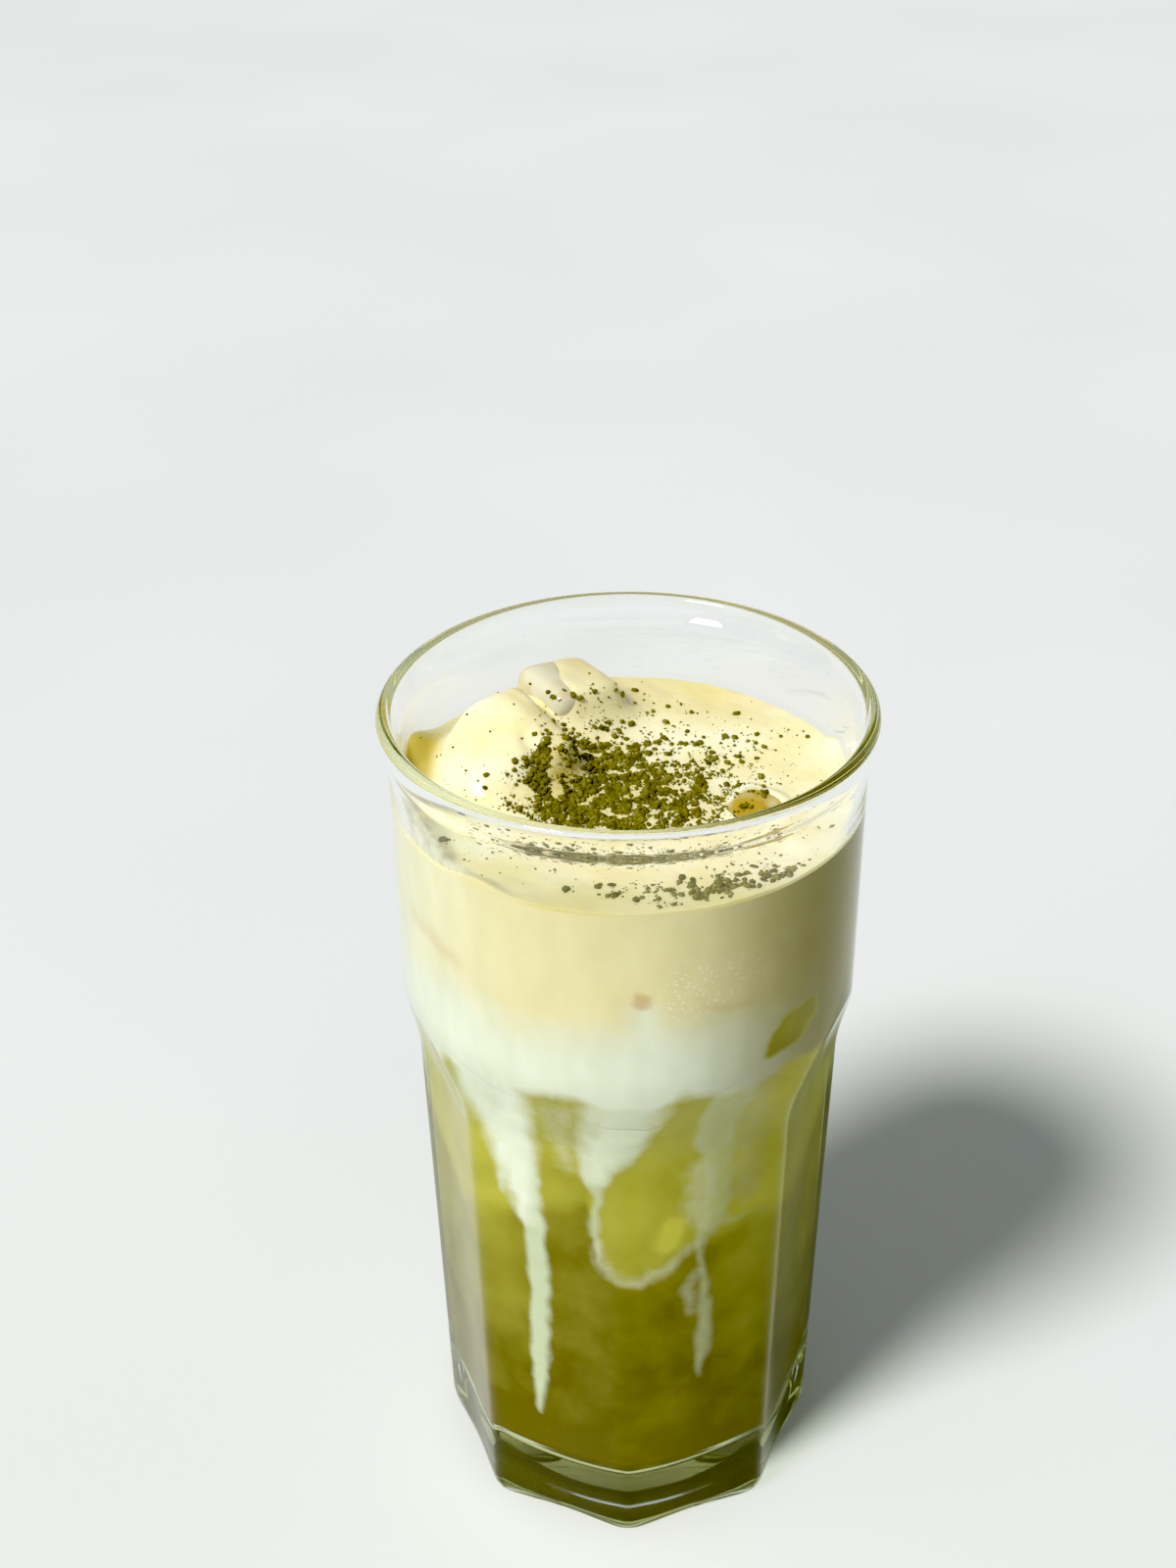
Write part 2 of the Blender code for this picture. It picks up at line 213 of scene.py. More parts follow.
COLOUR_MIX = {"data_type": "RGBA"}    # a Mix node for colours takes them at inputs 6 and 7
NOISE_RANGE = {"From_Min": 0.3, "From_Max": 0.7}        # a noise texture seldom leaves this range,
NOISE_MIDDLE = {"From_Min": 0.35, "From_Max": 0.65}     # and mostly stays in this one


# %% [markdown]
# ## The tumbler's walls
#
# The glass is a pressed soda-lime tumbler: round at the lip, with eight flat facets below the
# shoulder and a thick clear floor. Its walls are functions of height, the same ones that the solid
# was made from, so the finer mesh lies on the solid.

# %% Sizes of the tumbler
GLASS_HEIGHT = 157.0 * MM
RIM_RADIUS = 41.0 * MM            # the widest point of the rolled lip
LIP_HEIGHT = 5.0 * MM
LIP_WALL = 2.6 * MM
WALL_TOP = GLASS_HEIGHT - LIP_HEIGHT
BODY_RADIUS = 39.5 * MM           # the round wall just under the lip
SHOULDER_RADIUS = 39.0 * MM       # and where the facets begin
RIDGE_TOP_RADIUS = 37.3 * MM      # ridge between two facets, under the shoulder
RIDGE_FOOT_RADIUS = 34.8 * MM     # the same ridge, above the rounded foot
SIDES = 8
FACET_TOP = 106.0 * MM            # highest point of the arch over each facet
ARCH_POWER = 1.4                  # how late the facet swings out to meet the round wall
SHOULDER_TOP = 99.0 * MM
SHOULDER_FOOT = 88.0 * MM
FOOT_HEIGHT = 4.0 * MM            # of the rounded edge at the foot
FOOT_DRAW_IN = 1.8 * MM           # how far that edge draws in
FOOT_FULLNESS = 0.98              # a little under 1, so that it doesn't end flat
FACET_DRAW_IN = 0.45              # share of it by which the facets draw in
FACET_HOLLOW = 0.35 * MM          # how deep each facet is dished
FOOT_HOLLOW = 0.5 * MM            # and near the foot
FLOOR_THICKNESS = 11.0 * MM
FLOOR_CORNER = 6.0 * MM           # radius between the bore and the floor
PUNT_RADIUS = 25.0 * MM           # the shallow hollow under the foot
PUNT_DEPTH = 1.6 * MM
BORE_FLOOR = 30.2 * MM            # inner radius above the floor corner
BORE_WAIST = 32.2 * MM            # and at SHOULDER_FOOT
BORE_SHOULDER = 36.4 * MM         # and at BORE_SHOULDER_TOP
BORE_SHOULDER_TOP = 109.0 * MM
BORE_LIP = 37.3 * MM              # and under the lip


# %% The walls as functions of height
def foot_draw_in(height):
    """How far the foot has drawn in at this height: a quarter ellipse."""
    t = 1.0 - share(height, 0.0, FOOT_HEIGHT)
    return FOOT_DRAW_IN * (1.0 - np.sqrt(1.0 - FOOT_FULLNESS * t * t))


def outer_radius(height):
    """The turned outer wall: the round upper body, and below it the line of the ridges."""
    ridge = mix(RIDGE_FOOT_RADIUS, RIDGE_TOP_RADIUS, share(height, FOOT_HEIGHT, SHOULDER_FOOT))
    body = mix(SHOULDER_RADIUS, BODY_RADIUS, share(height, SHOULDER_TOP, WALL_TOP))
    return mix(ridge, body, ease(share(height, SHOULDER_FOOT, SHOULDER_TOP))) - foot_draw_in(height)


def facet_distance(height):
    """From the axis to the middle of a facet. It runs out into the round wall as an arch."""
    narrowing = math.cos(math.pi / SIDES)
    ridge = mix(RIDGE_FOOT_RADIUS, RIDGE_TOP_RADIUS, share(height, FOOT_HEIGHT, SHOULDER_FOOT))
    run_out = outer_radius(FACET_TOP) - RIDGE_TOP_RADIUS * narrowing
    arch = run_out * share(height, SHOULDER_FOOT, FACET_TOP) ** ARCH_POWER
    return narrowing * ridge + arch - FACET_DRAW_IN * foot_draw_in(height)


def facet_hollow(height):
    """How deep the middle of a facet is dished at this height."""
    foot = 1.0 - share(height, 0.0, 4.0 * FOOT_HEIGHT)
    return mix(FACET_HOLLOW, FOOT_HOLLOW, ease(foot)) * (1.0 - share(height, SHOULDER_FOOT, FACET_TOP))


def inner_radius(height):
    """The smooth bore, without the corner at the floor and the lip."""
    lower = mix(BORE_FLOOR, BORE_WAIST, share(height, FLOOR_THICKNESS, SHOULDER_FOOT))
    rise = (BORE_SHOULDER - BORE_WAIST) * ease(share(height, SHOULDER_FOOT, BORE_SHOULDER_TOP))
    upper = (BORE_LIP - BORE_SHOULDER) * share(height, BORE_SHOULDER_TOP, WALL_TOP)
    return lower + rise + upper


def floor_corner(reach, count):
    """The round corner between the bore and the floor, going down, moved into the glass by reach."""
    centre = (BORE_FLOOR - FLOOR_CORNER, FLOOR_THICKNESS + FLOOR_CORNER)
    return arc(centre, FLOOR_CORNER + reach, 0.0, -90.0, count)


# %% [markdown]
# A ridge between two facets is never a knife edge on pressed glass: the mould and the fire polishing
# round it. The facets could be planed off with bisect_plane and bevelled, but the arches at their
# tops need more than a flat cut. So each vertex is pushed in to a rounded octagon, a power mean of
# the distances to the eight planes. A high power gives tight ridges and a low one gives soft ridges.
# A soft minimum blends the facets with the round wall, which gives the arch its gentle edge.

# %% Pressing the facets
GLASS_COLUMNS = 320
RIDGE_POWER = 90.0                # rounds each ridge by about 0.3 mm
ARCH_SOFTNESS = 0.5 * MM
LEAST_FACING = 0.2                # planes that face further away than this don't count
OFF_BORE = 0.5 * MM               # a vertex further out than this from the bore is on the outside
UNDER_FLOOR = 1.0 * MM            # and so is one this far under the floor
PRESS_MARGIN = 4.0 * MM           # nothing higher than this above the arches is pressed


def octagon_radius(angle, distance):
    """Radius of a rounded octagon at an angle in radians, for facets this far from the axis."""
    total = 0.0
    for side in range(SIDES):
        facing = np.cos(angle - (side + 0.5) * 2.0 * math.pi / SIDES)
        total = total + np.where(facing > LEAST_FACING, facing / distance, 0.0) ** RIDGE_POWER
    return total ** (-1.0 / RIDGE_POWER)


def soft_minimum(a, b, softness):
    near = np.maximum(softness - np.abs(a - b), 0.0) / softness
    return np.minimum(a, b) - 0.25 * softness * near * near


def press_facets(places):
    """Pushes the outer wall in to the eight facets. The bore and the punt stay round."""
    around, out = around_and_out(places)
    angle, height = np.radians(around), places[:, 2]
    from_middle = angle % (2.0 * math.pi / SIDES) - math.pi / SIDES
    dish = facet_hollow(height) * np.cos(from_middle * SIDES / 2.0) ** 2
    pressed = octagon_radius(angle, facet_distance(height)) - dish
    narrowed = soft_minimum(pressed, outer_radius(height), ARCH_SOFTNESS) / outer_radius(height)
    outside = (out > inner_radius(height) + OFF_BORE) | (height < FLOOR_THICKNESS - UNDER_FLOOR)
    outside &= height < FACET_TOP + PRESS_MARGIN
    under = share(out, PUNT_RADIUS, outer_radius(0.0))
    factor = np.where(outside, mix(1.0, narrowed, np.where(height < PUNT_DEPTH, under, 1.0)), 1.0)
    return places * np.stack([factor, factor, np.ones_like(factor)], axis=1)


# %% The profile of the glass
PUNT_FORM = ((0.0, 1.0), (0.7, 1.0), (0.86, 0.97), (0.94, 0.5), (1.0, 0.0))    # shares of radius and depth
FOOT_RING = 4.0 * MM              # width of the flat ring round the punt
FLARE = (                         # radius, and height above the top of the wall
    (BODY_RADIUS + 0.12 * MM, -1.0 * MM),
    (BODY_RADIUS + 0.5 * MM, 0.0),
    (RIM_RADIUS - 0.42 * MM, 0.8 * MM),
    (RIM_RADIUS - 0.1 * MM, 1.7 * MM),
)
FLOOR_RINGS = (18.0 * MM, 9.0 * MM, 0.0)


def glass_profile():
    """The whole wall in one line: from the middle of the foot out, up, over the lip, in and down."""
    lip_middle = RIM_RADIUS - LIP_WALL / 2.0
    underside = [(PUNT_RADIUS * across, PUNT_DEPTH * painted_shade_and_ochre) for across, painted_shade_and_ochre in PUNT_FORM]
    underside += [(PUNT_RADIUS + FOOT_RING, 0.0)]
    heights = [FOOT_HEIGHT * (1.0 - math.cos(math.radians(a))) for a in steps(0.0, 90.0, 10)]
    heights += steps(FOOT_HEIGHT, SHOULDER_FOOT, 24)[1:] + steps(SHOULDER_FOOT, FACET_TOP, 30)[1:]
    heights += steps(FACET_TOP, WALL_TOP - 2.0 * MM, 10)[1:]
    outside = [(outer_radius(height), height) for height in heights]
    flare = [(radius, WALL_TOP + rise) for radius, rise in FLARE]
    lip = arc((lip_middle, GLASS_HEIGHT - LIP_WALL / 2.0), LIP_WALL / 2.0, 0.0, 180.0, 17)
    bore = steps(WALL_TOP - 0.5 * MM, BORE_SHOULDER_TOP, 12)
    bore += steps(BORE_SHOULDER_TOP, SHOULDER_FOOT, 18)[1:]
    bore += steps(SHOULDER_FOOT, FLOOR_THICKNESS + FLOOR_CORNER, 14)[1:-1]
    inside = [(inner_radius(height), height) for height in bore]
    floor = [(radius, FLOOR_THICKNESS) for radius in FLOOR_RINGS]
    return underside + outside + flare + lip + inside + floor_corner(0.0, 14) + floor


# %% [markdown]
# ### The glass itself
#
# Soda-lime glass is clear, with a faint green that shows only where the eye looks along the wall or
# through the thick foot. So the surface has no colour of its own, and a thin absorption inside the
# body gives the green. Pressing leaves slow waves in the wall, which bend what is seen in it a
# little. Light on its way to the floor or to the drink passes straight through, as it nearly does
# through a real wall, so that what stands in the glass is lit without grain.

# %% Material: pressed soda-lime glass, clear and fire-polished
GLASS_IOR = 1.51
PRESS_WAVE = 9.0 * MM             # length of the slow waves that pressing leaves
PRESS_WAVE_HEIGHT = 0.15 * MM
GLASS_GREEN = (0.72, 0.86, 0.66, 1.0)    # it absorbs 1 minus this, times the density, in every metre
GLASS_DENSITY = 9.0


def pressed_soda_glass():
    material, tree, place = new_material("pressed_soda_lime_glass")
    uneven = node(tree, "TexNoise", Vector=place, Scale=1.0 / PRESS_WAVE, Detail=1.0)
    bump = node(tree, "Bump", Strength=0.1, Distance=PRESS_WAVE_HEIGHT, Height=uneven)
    glass = node(tree, "BsdfPrincipled", Base_Color="ffffff", Roughness=0.0, IOR=GLASS_IOR,
                 Transmission_Weight=1.0, Normal=bump)
    straight_through = node(tree, "BsdfTransparent", Color="f6f9f4")
    path = node(tree, "LightPath")
    not_looked_at = node(tree, "Math", {"operation": "MAXIMUM"}, i0=path.outputs["Is Shadow Ray"],
                         i1=path.outputs["Is Diffuse Ray"])
    surface = node(tree, "MixShader", Fac=not_looked_at, i1=glass, i2=straight_through)
    finish(tree, surface, node(tree, "VolumeAbsorption", Color=GLASS_GREEN, Density=GLASS_DENSITY))
    return material


# %% Build the tumbler
glass_mesh = spun("pressed_tumbler", glass_profile(), GLASS_COLUMNS)
place_vertices(glass_mesh, press_facets(places_of(glass_mesh)))
tumbler = shown(glass_mesh, pressed_soda_glass())
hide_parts("tumbler")

# %% [markdown]
# ## What fills the glass
#
# The drink and the cream both reach a little way into the wall, so that no air shows between them
# and the glass. Where they meet, cream hangs down at the wall and runs off in streaks. A modeller
# could build each streak as its own strip. Here the streaks are drawn on the unrolled wall, in
# degrees round the glass and millimetres up, and each vertex looks up how deep it lies in one.
# The same look-up raises the streaks as a thin relief and stores them as attributes for the colours.

# %% Levels of cream and drink
REACH = 0.3 * MM                  # how far what fills the glass reaches into its wall
CREAM_LEVEL = 141.0 * MM
CREAM_WAVES = (0.5 * MM, 11.0 * MM)    # height and length of the slow waves in its top
MENISCUS = 0.4 * MM               # how far the cream is drawn up at the glass
MENISCUS_START = 33.5 * MM        # from this radius outwards
SKIRT_LENGTH = 3.2 * MM           # how far the cream drawn up round an ice cube reaches out
MIX_LEVEL = 107.0 * MM            # where cream gives way to the green drink, in the middle
MIX_WAVES = (1.6 * MM, 14.0 * MM)      # height and length of the waves in this boundary
MIX_HANG = 6.0 * MM               # it hangs this much lower at the glass, on average
MIX_HANG_START = 18.0 * MM        # from this radius outwards
MIX_LOBES = ((5, 2.6 * MM, 0.6), (8, 1.7 * MM, -1.1))    # lobes round the glass, size, phase
FILL_COLUMNS = 360                # faces round the glass


def rolling(places, height, length):
    """The slow waves that the solids have in their levels."""
    flat = np.stack([places[:, 0], places[:, 1], np.full(len(places), length)], axis=1)
    return waves(flat, height, length)


def mix_height(places):
    """The uneven boundary between cream and drink. It hangs lower at the wall, in lobes."""
    around, out = around_and_out(places)
    turn = np.radians(around)
    hang = MIX_HANG + sum(size * np.cos(count * turn + phase) for count, size, phase in MIX_LOBES)
    return MIX_LEVEL + rolling(places, *MIX_WAVES) - ease(share(out, MIX_HANG_START, BORE_WAIST)) * hang


def fill_radius(height):
    return inner_radius(height) + REACH


# %% [markdown]
# ### Marks on the wall
#
# Each mark is a stroke, as a brush would leave it: a line of points, each with its half width, and
# how soft its edge is. The cream's own edges run right round the glass, so they are read between
# stops. A wobble of the place before each look-up gives every edge the ragged outline of a liquid
# that creeps down a wet wall.

# %% Streaks and hazes on the unrolled wall, in degrees round the glass and mm up
Stroke = namedtuple("Stroke", "softness strength points")    # points: (degrees, height, half width)
STREAKS = (                       # cream that has run down
    Stroke(0.9, 0.95, ((-35, 92, 3.0), (-33, 84, 2.6), (-31, 77, 2.5), (-29.5, 70, 2.2), (-28.5, 60, 2.0),
                       (-29, 50, 1.9), (-29.5, 40, 1.9), (-30, 33, 1.6), (-30.3, 28, 0.8), (-30.5, 24, 0.2))),
    Stroke(0.8, 0.8, ((-38.5, 86, 1.2), (-40, 80, 1.0), (-40, 75.5, 0.5))),
    Stroke(1.0, 0.8, ((0.5, 104, 3.6), (-1.5, 98, 2.8), (-4, 91.5, 3.0), (-7.2, 86.5, 2.4), (-8.3, 81, 1.0),
                      (-8.3, 78, 0.6), (-9.6, 72.3, 0.7), (-8.6, 68.7, 0.4), (-7.6, 66.5, 0.2))),
    Stroke(0.8, 0.7, ((-11, 88, 1.6), (-11.5, 84, 0.8), (-9, 80.5, 0.4))),
    Stroke(1.2, 0.6, ((29, 104, 3.4), (26, 97.5, 3.8), (25.5, 92, 3.6), (27, 87, 2.8), (27.6, 82, 2.5),
                       (28, 77, 2.5), (27, 72.5, 2.3), (23, 69.5, 1.3), (22.3, 66, 0.8), (23, 62, 0.7),
                       (23.8, 58, 1.0), (24.4, 51, 1.3), (24.4, 45, 1.6), (24.2, 39.5, 1.2),
                       (23.6, 35, 0.2))),
    Stroke(1.0, 0.45, ((29, 73, 1.5), (33, 71, 0.9), (38, 71.3, 0.7), (46, 70.6, 0.5))),
    Stroke(0.9, 0.8, ((112, 99, 4.0), (114, 88, 2.2), (113, 70, 1.7), (114, 52, 1.5), (113.5, 44, 0.3))),
    Stroke(0.9, 0.8, ((158, 97, 3.6), (160, 84, 2.4), (156, 76, 1.2), (157, 66, 0.9), (156, 60, 0.2))),
    Stroke(0.9, 0.8, ((-146, 99, 4.4), (-143, 85, 2.3), (-144, 66, 1.8), (-143, 47, 1.6), (-143, 37, 0.3))),
    Stroke(0.9, 0.8, ((-96, 98, 3.4), (-98, 87, 1.8), (-96, 79, 0.9), (-96, 72, 0.2))),
)
HAZES = (                         # thin cream round the streaks
    Stroke(2.6, 0.9, ((-39, 101, 6.5), (-38, 94, 5.6), (-36, 86, 4.4), (-34, 78, 3.0), (-32, 72, 1.4))),
    Stroke(2.6, 0.7, ((-1, 103, 6.4), (-4, 97, 4.8), (-8, 91, 3.8), (-9, 86, 2.4))),
    Stroke(2.8, 0.3, ((-19, 99, 3.0), (-19, 92, 2.6), (-18, 86, 1.6))),
    Stroke(1.7, 0.36, ((-8.6, 69, 1.2), (-7.6, 66, 1.2), (-4.4, 63, 1.4), (0, 62, 1.5), (4.5, 62.8, 1.5),
                       (11.5, 63.3, 1.2), (16.6, 66, 1.0), (20.5, 67.7, 0.9))),
    Stroke(1.4, 0.35, ((22, 61, 0.8), (18, 57.5, 1.4), (19.5, 52, 1.0))),
    Stroke(2.4, 0.4, ((22, 84, 3.0), (21, 77, 2.4), (22, 72, 1.4))),
    Stroke(3.4, 0.34, ((36, 100, 4.0), (38, 90, 4.0), (38, 78, 3.4))),
)
print("streaks and hazes:", len(STREAKS), "and", len(HAZES))

# %% Single marks in the cream and in the drink
COLUMN = (Stroke(2.0, 0.75, ((3.3, 123, 1.4), (4.2, 116, 2.2), (3.4, 108, 3.0))),)    # of whiter cream
WINDOW = (                        # a patch where the drink shows in the cream
    Stroke(0.7, 1.0, ((38.6, 108.6, 1.4), (41.5, 110.4, 2.8), (45.5, 111.8, 3.4), (50, 113.2, 2.6))),
)
GLOW = (Stroke(3.2, 1.0, ((11.5, 69.5, 0.8), (13.5, 73, 1.0))),)    # a light patch in the drink
FOAM = (Stroke(2.5, 0.6, ((10, 124, 3.5), (18, 126, 5.5), (27, 127, 4.0))),)    # bubbles at the glass
TINTS = (                         # ochre spots
    Stroke(0.6, 0.6, ((3.3, 125.3, 1.2), (3.1, 123.8, 1.3))),
    Stroke(1.6, 0.26, ((-64, 127, 1.2), (-56, 126, 1.6), (-46, 124, 1.0))),
    Stroke(2.0, 0.32, ((49, 127.5, 1.8), (51, 126, 1.4))),
    Stroke(1.2, 0.3, ((20, 121.5, 0.5), (26, 120.5, 0.7), (31, 120.8, 0.4))),
)

# %% Edges that run right round, as (degrees, height) stops
# Below the first the cream gives way to the drink, above the second it is yellow rather than white,
# and below the third the drink is dark.
MILK_EDGE = ((-180, 97), (-150, 101), (-120, 98), (-90, 100), (-65, 99), (-52, 101.5), (-45, 99),
             (-28, 102.4), (-18, 104.6), (-12, 103.2), (-5, 101.0), (6.5, 101.4), (12.7, 104.3),
             (24, 103.6), (31, 102.4), (38.5, 102.6), (43, 104), (50, 103.6), (62, 101), (90, 99),
             (120, 102), (150, 98))
YELLOW_EDGE = ((-180, 118), (-150, 115), (-120, 119), (-90, 119), (-62, 117.5), (-48, 120.5), (-34, 118.8),
               (-27, 117.4), (-14, 118.6), (1, 119.6), (15, 119.4), (30, 118.6), (38, 117.2), (52, 119),
               (65, 117), (90, 117), (120, 119), (150, 116))
LIGHT_EDGE = ((-180, 76), (-120, 80), (-90, 74), (-62, 66), (-45, 70.5), (-24, 75), (-12, 79), (-9.8, 74),
              (-8, 67), (-4.4, 62.6), (0, 61.2), (4.5, 62.2), (11.5, 62.8), (16.6, 66), (22, 68),
              (34, 69.6), (38, 71.3), (46, 70.6), (60, 70), (90, 78), (140, 73))


# %% Reading strokes and edges at any place on the wall
def edge_round(around, stops):
    """The height of an edge that runs round the glass, read between its stops."""
    degrees = [stop[0] for stop in stops]
    return MM * np.interp(around, degrees, [stop[1] for stop in stops], period=360.0)


def depth_in(stroke, around, height):
    """How deep each place lies inside a stroke on the unrolled wall; negative outside it."""
    across = np.radians(around) * BORE_WAIST
    deepest = np.full(len(around), -1.0)
    for (a, h, w), (b, k, v) in zip(stroke.points, stroke.points[1:]):
        start = np.array((math.radians(a) * BORE_WAIST, h * MM))
        run = np.array((math.radians(b) * BORE_WAIST, k * MM)) - start
        from_start = np.stack([across, height], axis=1) - start
        along = np.clip(from_start @ run / (run @ run), 0.0, 1.0)
        apart = np.linalg.norm(from_start - along[:, None] * run, axis=1)
        deepest = np.maximum(deepest, mix(w, v, along) * MM - apart)
    return deepest


def covered(strokes, around, height):
    """How strongly the strokes cover each place, from 0 to 1."""
    total = np.zeros(len(around))
    for stroke in strokes:
        soft = stroke.softness * MM
        inside = ease(share(depth_in(stroke, around, height), -soft, soft))
        total = np.maximum(total, stroke.strength * inside)
    return total


SIDEWAYS = ((0.8 * MM, 3.6 * MM, 3.0), (0.2 * MM, 1.2 * MM, 8.0))    # waves: height, length, shift
UPWARDS = ((1.2 * MM, 4.0 * MM, 5.0), (0.35 * MM, 1.3 * MM, 9.0))


def wobbled(places):
    """Degrees and heights on the wall, moved a little by waves of two lengths."""
    around, _ = around_and_out(places)
    sideways = sum(waves(places, *wave) for wave in SIDEWAYS)
    upwards = sum(waves(places, *wave) for wave in UPWARDS)
    return around + np.degrees(sideways / BORE_WAIST), places[:, 2] + upwards


# %% [markdown]
# Seven numbers are enough for the colours behind the glass: how milky a place is, how yellow the
# cream is there, how much painted shade darkens it on the right, how light the drink is, with painted
# light upwards and at its sides, and how far it lies in a streak, in the foam or in a spot. The changes
# from one to the next are soft, and each has its own width.

# %% Painting the wall
MILK_FADE = (-1.6 * MM, 2.2 * MM)      # each change begins and ends this far from its edge
YELLOW_FADE = (-7.0 * MM, 4.5 * MM)
LIGHT_FADE = (-3.0 * MM, 3.4 * MM)
PALER = 0.55                      # how much less yellow the cream is at the left
PALER_FROM, PALER_TO = (-20.0, -72.0), (-180.0, -130.0)    # in full from -72 to -130 degrees
RIGHT_SHADE = 0.95                    # how strong the painted shade is on the right-hand side
RIGHT_SHADE_FROM, RIGHT_SHADE_TO = (4.0, 62.0), (125.0, 75.0)      # in full from 62 to 75 degrees
RISING_LIGHT, RISING_HEIGHTS = 0.25, (20.0 * MM, 75.0 * MM)    # painted light: the drink grows lighter upwards,
ABOVE_LIGHT = 0.4                 # lighter again above its edge,
SIDE_LIGHT, SIDE_HEIGHTS = 0.2, (28.0 * MM, 52.0 * MM)         # and painted light at the sides
SIDE_FROM, SIDE_TO = (22.0, 40.0), (110.0, 85.0)           # from 40 to 85 degrees either way
WINDOW_DARKNESS = 0.5             # in the window the drink is this much darker


def between(values, start, end):
    """0 to 1 over the first pair of values, times the same over the second: a rise and a fall."""
    return ease(share(values, *start)) * ease(share(values, *end))


def past_edge(height, edge, fade):
    """0 well below an edge and 1 well above it."""
    return ease(share(height, edge + fade[0], edge + fade[1]))


def paint_wall(mesh):
    """Stores the seven numbers for each vertex."""
    around, height = wobbled(places_of(mesh))
    hazes, column, window, glow, foam, tint, streak = (
        covered(strokes, around, height) for strokes in (HAZES, COLUMN, WINDOW, GLOW, FOAM, TINTS, STREAKS))
    cloud = past_edge(height, edge_round(around, MILK_EDGE), MILK_FADE)
    yellow = past_edge(height, edge_round(around, YELLOW_EDGE), YELLOW_FADE) * (1.0 - column)
    yellow *= 1.0 - PALER * between(around, PALER_FROM, PALER_TO)
    above = past_edge(height, edge_round(around, LIGHT_EDGE), LIGHT_FADE)
    # painted light: the drink is made lighter upwards and at its sides
    sides = between(np.abs(around), SIDE_FROM, SIDE_TO) * ease(share(height, *SIDE_HEIGHTS))
    light = RISING_LIGHT * share(height, *RISING_HEIGHTS) + ABOVE_LIGHT * above + glow
    light += SIDE_LIGHT * sides * (1.0 - ABOVE_LIGHT * above)
    store(mesh, "milk", np.maximum(cloud, hazes) * (1.0 - window))
    store(mesh, "yellow", yellow)
    # painted shade: the cream and the streaks are darkened towards the right-hand side
    store(mesh, "painted_right_shade", RIGHT_SHADE * between(around, RIGHT_SHADE_FROM, RIGHT_SHADE_TO))
    store(mesh, "light", np.clip(light * (1.0 - WINDOW_DARKNESS * window), 0.0, 1.0))
    store(mesh, "streak", streak * (1.0 - window))
    store(mesh, "foam", foam)
    store(mesh, "tint", tint)


# %% Drink: a turned body up to the uneven boundary
STREAK_RELIEF = 0.2 * MM
HIDDEN = 1.2 * MM                 # how far the drink runs up behind the cream
BEHIND = 0.1 * MM                 # and how much further in it lies there
MIX_RINGS = 14
WALL_ROWS = 170
ROWS_MOVE_ABOVE = 80.0 * MM       # the rows of the wall stay where they are below this
ON_WALL = 0.5 * MM                # a vertex nearer to the wall than this lies on it
RELIEF_DEPTHS = (2.0 * HIDDEN, 5.0 * MM)    # under the drink's edge, where the streaks begin to stand out
BEHIND_DEPTHS = (1.6 * HIDDEN, 1.2 * HIDDEN)


def drink_profile():
    """From the axis over the top, down the wall and round the floor corner."""
    top = [(radius, MIX_LEVEL) for radius in steps(0.0, fill_radius(MIX_LEVEL), MIX_RINGS)]
    heights = steps(MIX_LEVEL, FLOOR_THICKNESS + FLOOR_CORNER, WALL_ROWS)[1:-1]
    wall = [(fill_radius(height), height) for height in heights]
    floor = [(radius, FLOOR_THICKNESS - REACH) for radius in (5.0 * MM, 0.0)]
    return top + wall + floor_corner(REACH, 14) + floor


def settle_drink(places):
    """Brings the top down to the uneven boundary, with the rows of the wall closed up under it."""
    level = mix_height(places) + HIDDEN
    closed_up = mix(ROWS_MOVE_ABOVE, level, share(places[:, 2], ROWS_MOVE_ABOVE, MIX_LEVEL))
    height = np.where(places[:, 2] > ROWS_MOVE_ABOVE, closed_up, places[:, 2])
    _, out = around_and_out(places)
    on_wall = out > fill_radius(places[:, 2]) - ON_WALL
    settled = np.stack([places[:, 0], places[:, 1], height], axis=1)
    streaks = covered(STREAKS, *wobbled(settled))
    relief = STREAK_RELIEF * streaks * ease(share(level - height, *RELIEF_DEPTHS))
    relief -= BEHIND * share(level - height, *BEHIND_DEPTHS)
    radius = np.where(on_wall, fill_radius(height) + relief, np.minimum(out, fill_radius(height)))
    factor = radius / np.maximum(out, NO_LENGTH)
    return settled * np.stack([factor, factor, np.ones_like(factor)], axis=1)


# %% [markdown]
# ### Cream, milk and matcha behind the glass
#
# Where the cream meets the tea it thins to a milky white, and the tea itself is cloudy: matcha is
# leaf ground to a powder, and it hangs in the water. So nothing here is clear. Light goes in a little
# way and comes out again, which subsurface scattering gives. The colours follow the attributes that
# the vertices store. The wet glass has almost the same optical density as the drink, so there is
# next to no gloss where they touch.

# %% The colours of cream and tea behind the glass
CLOUD = 9.0 * MM                  # size of the slow clouds in the tea
CLOUD_LIGHT = 0.12                # how much lighter or darker they make it
WISP = 2.5 * MM                   # size of the wisps in the milky zone
RUN = 5.0 * MM                    # width of the soft runs that the cream leaves as it slides down
RUN_STRETCH = 0.45                # below 1, which draws them out in height
FOAM_CELL = 0.9 * MM              # spacing of the bubbles that cling to the glass


def frayed(tree, painted, wisp, amount, full):
    """A painted number whose edge is frayed by the wisps, stretched to run from 0 to 1."""
    waver = node(tree, "MapRange", Value=wisp, To_Min=-amount, To_Max=amount, **NOISE_RANGE)
    wavering = node(tree, "Math", {"operation": "ADD"}, i0=painted, i1=waver)
    return node(tree, "MapRange", Value=wavering, From_Min=amount, From_Max=full)


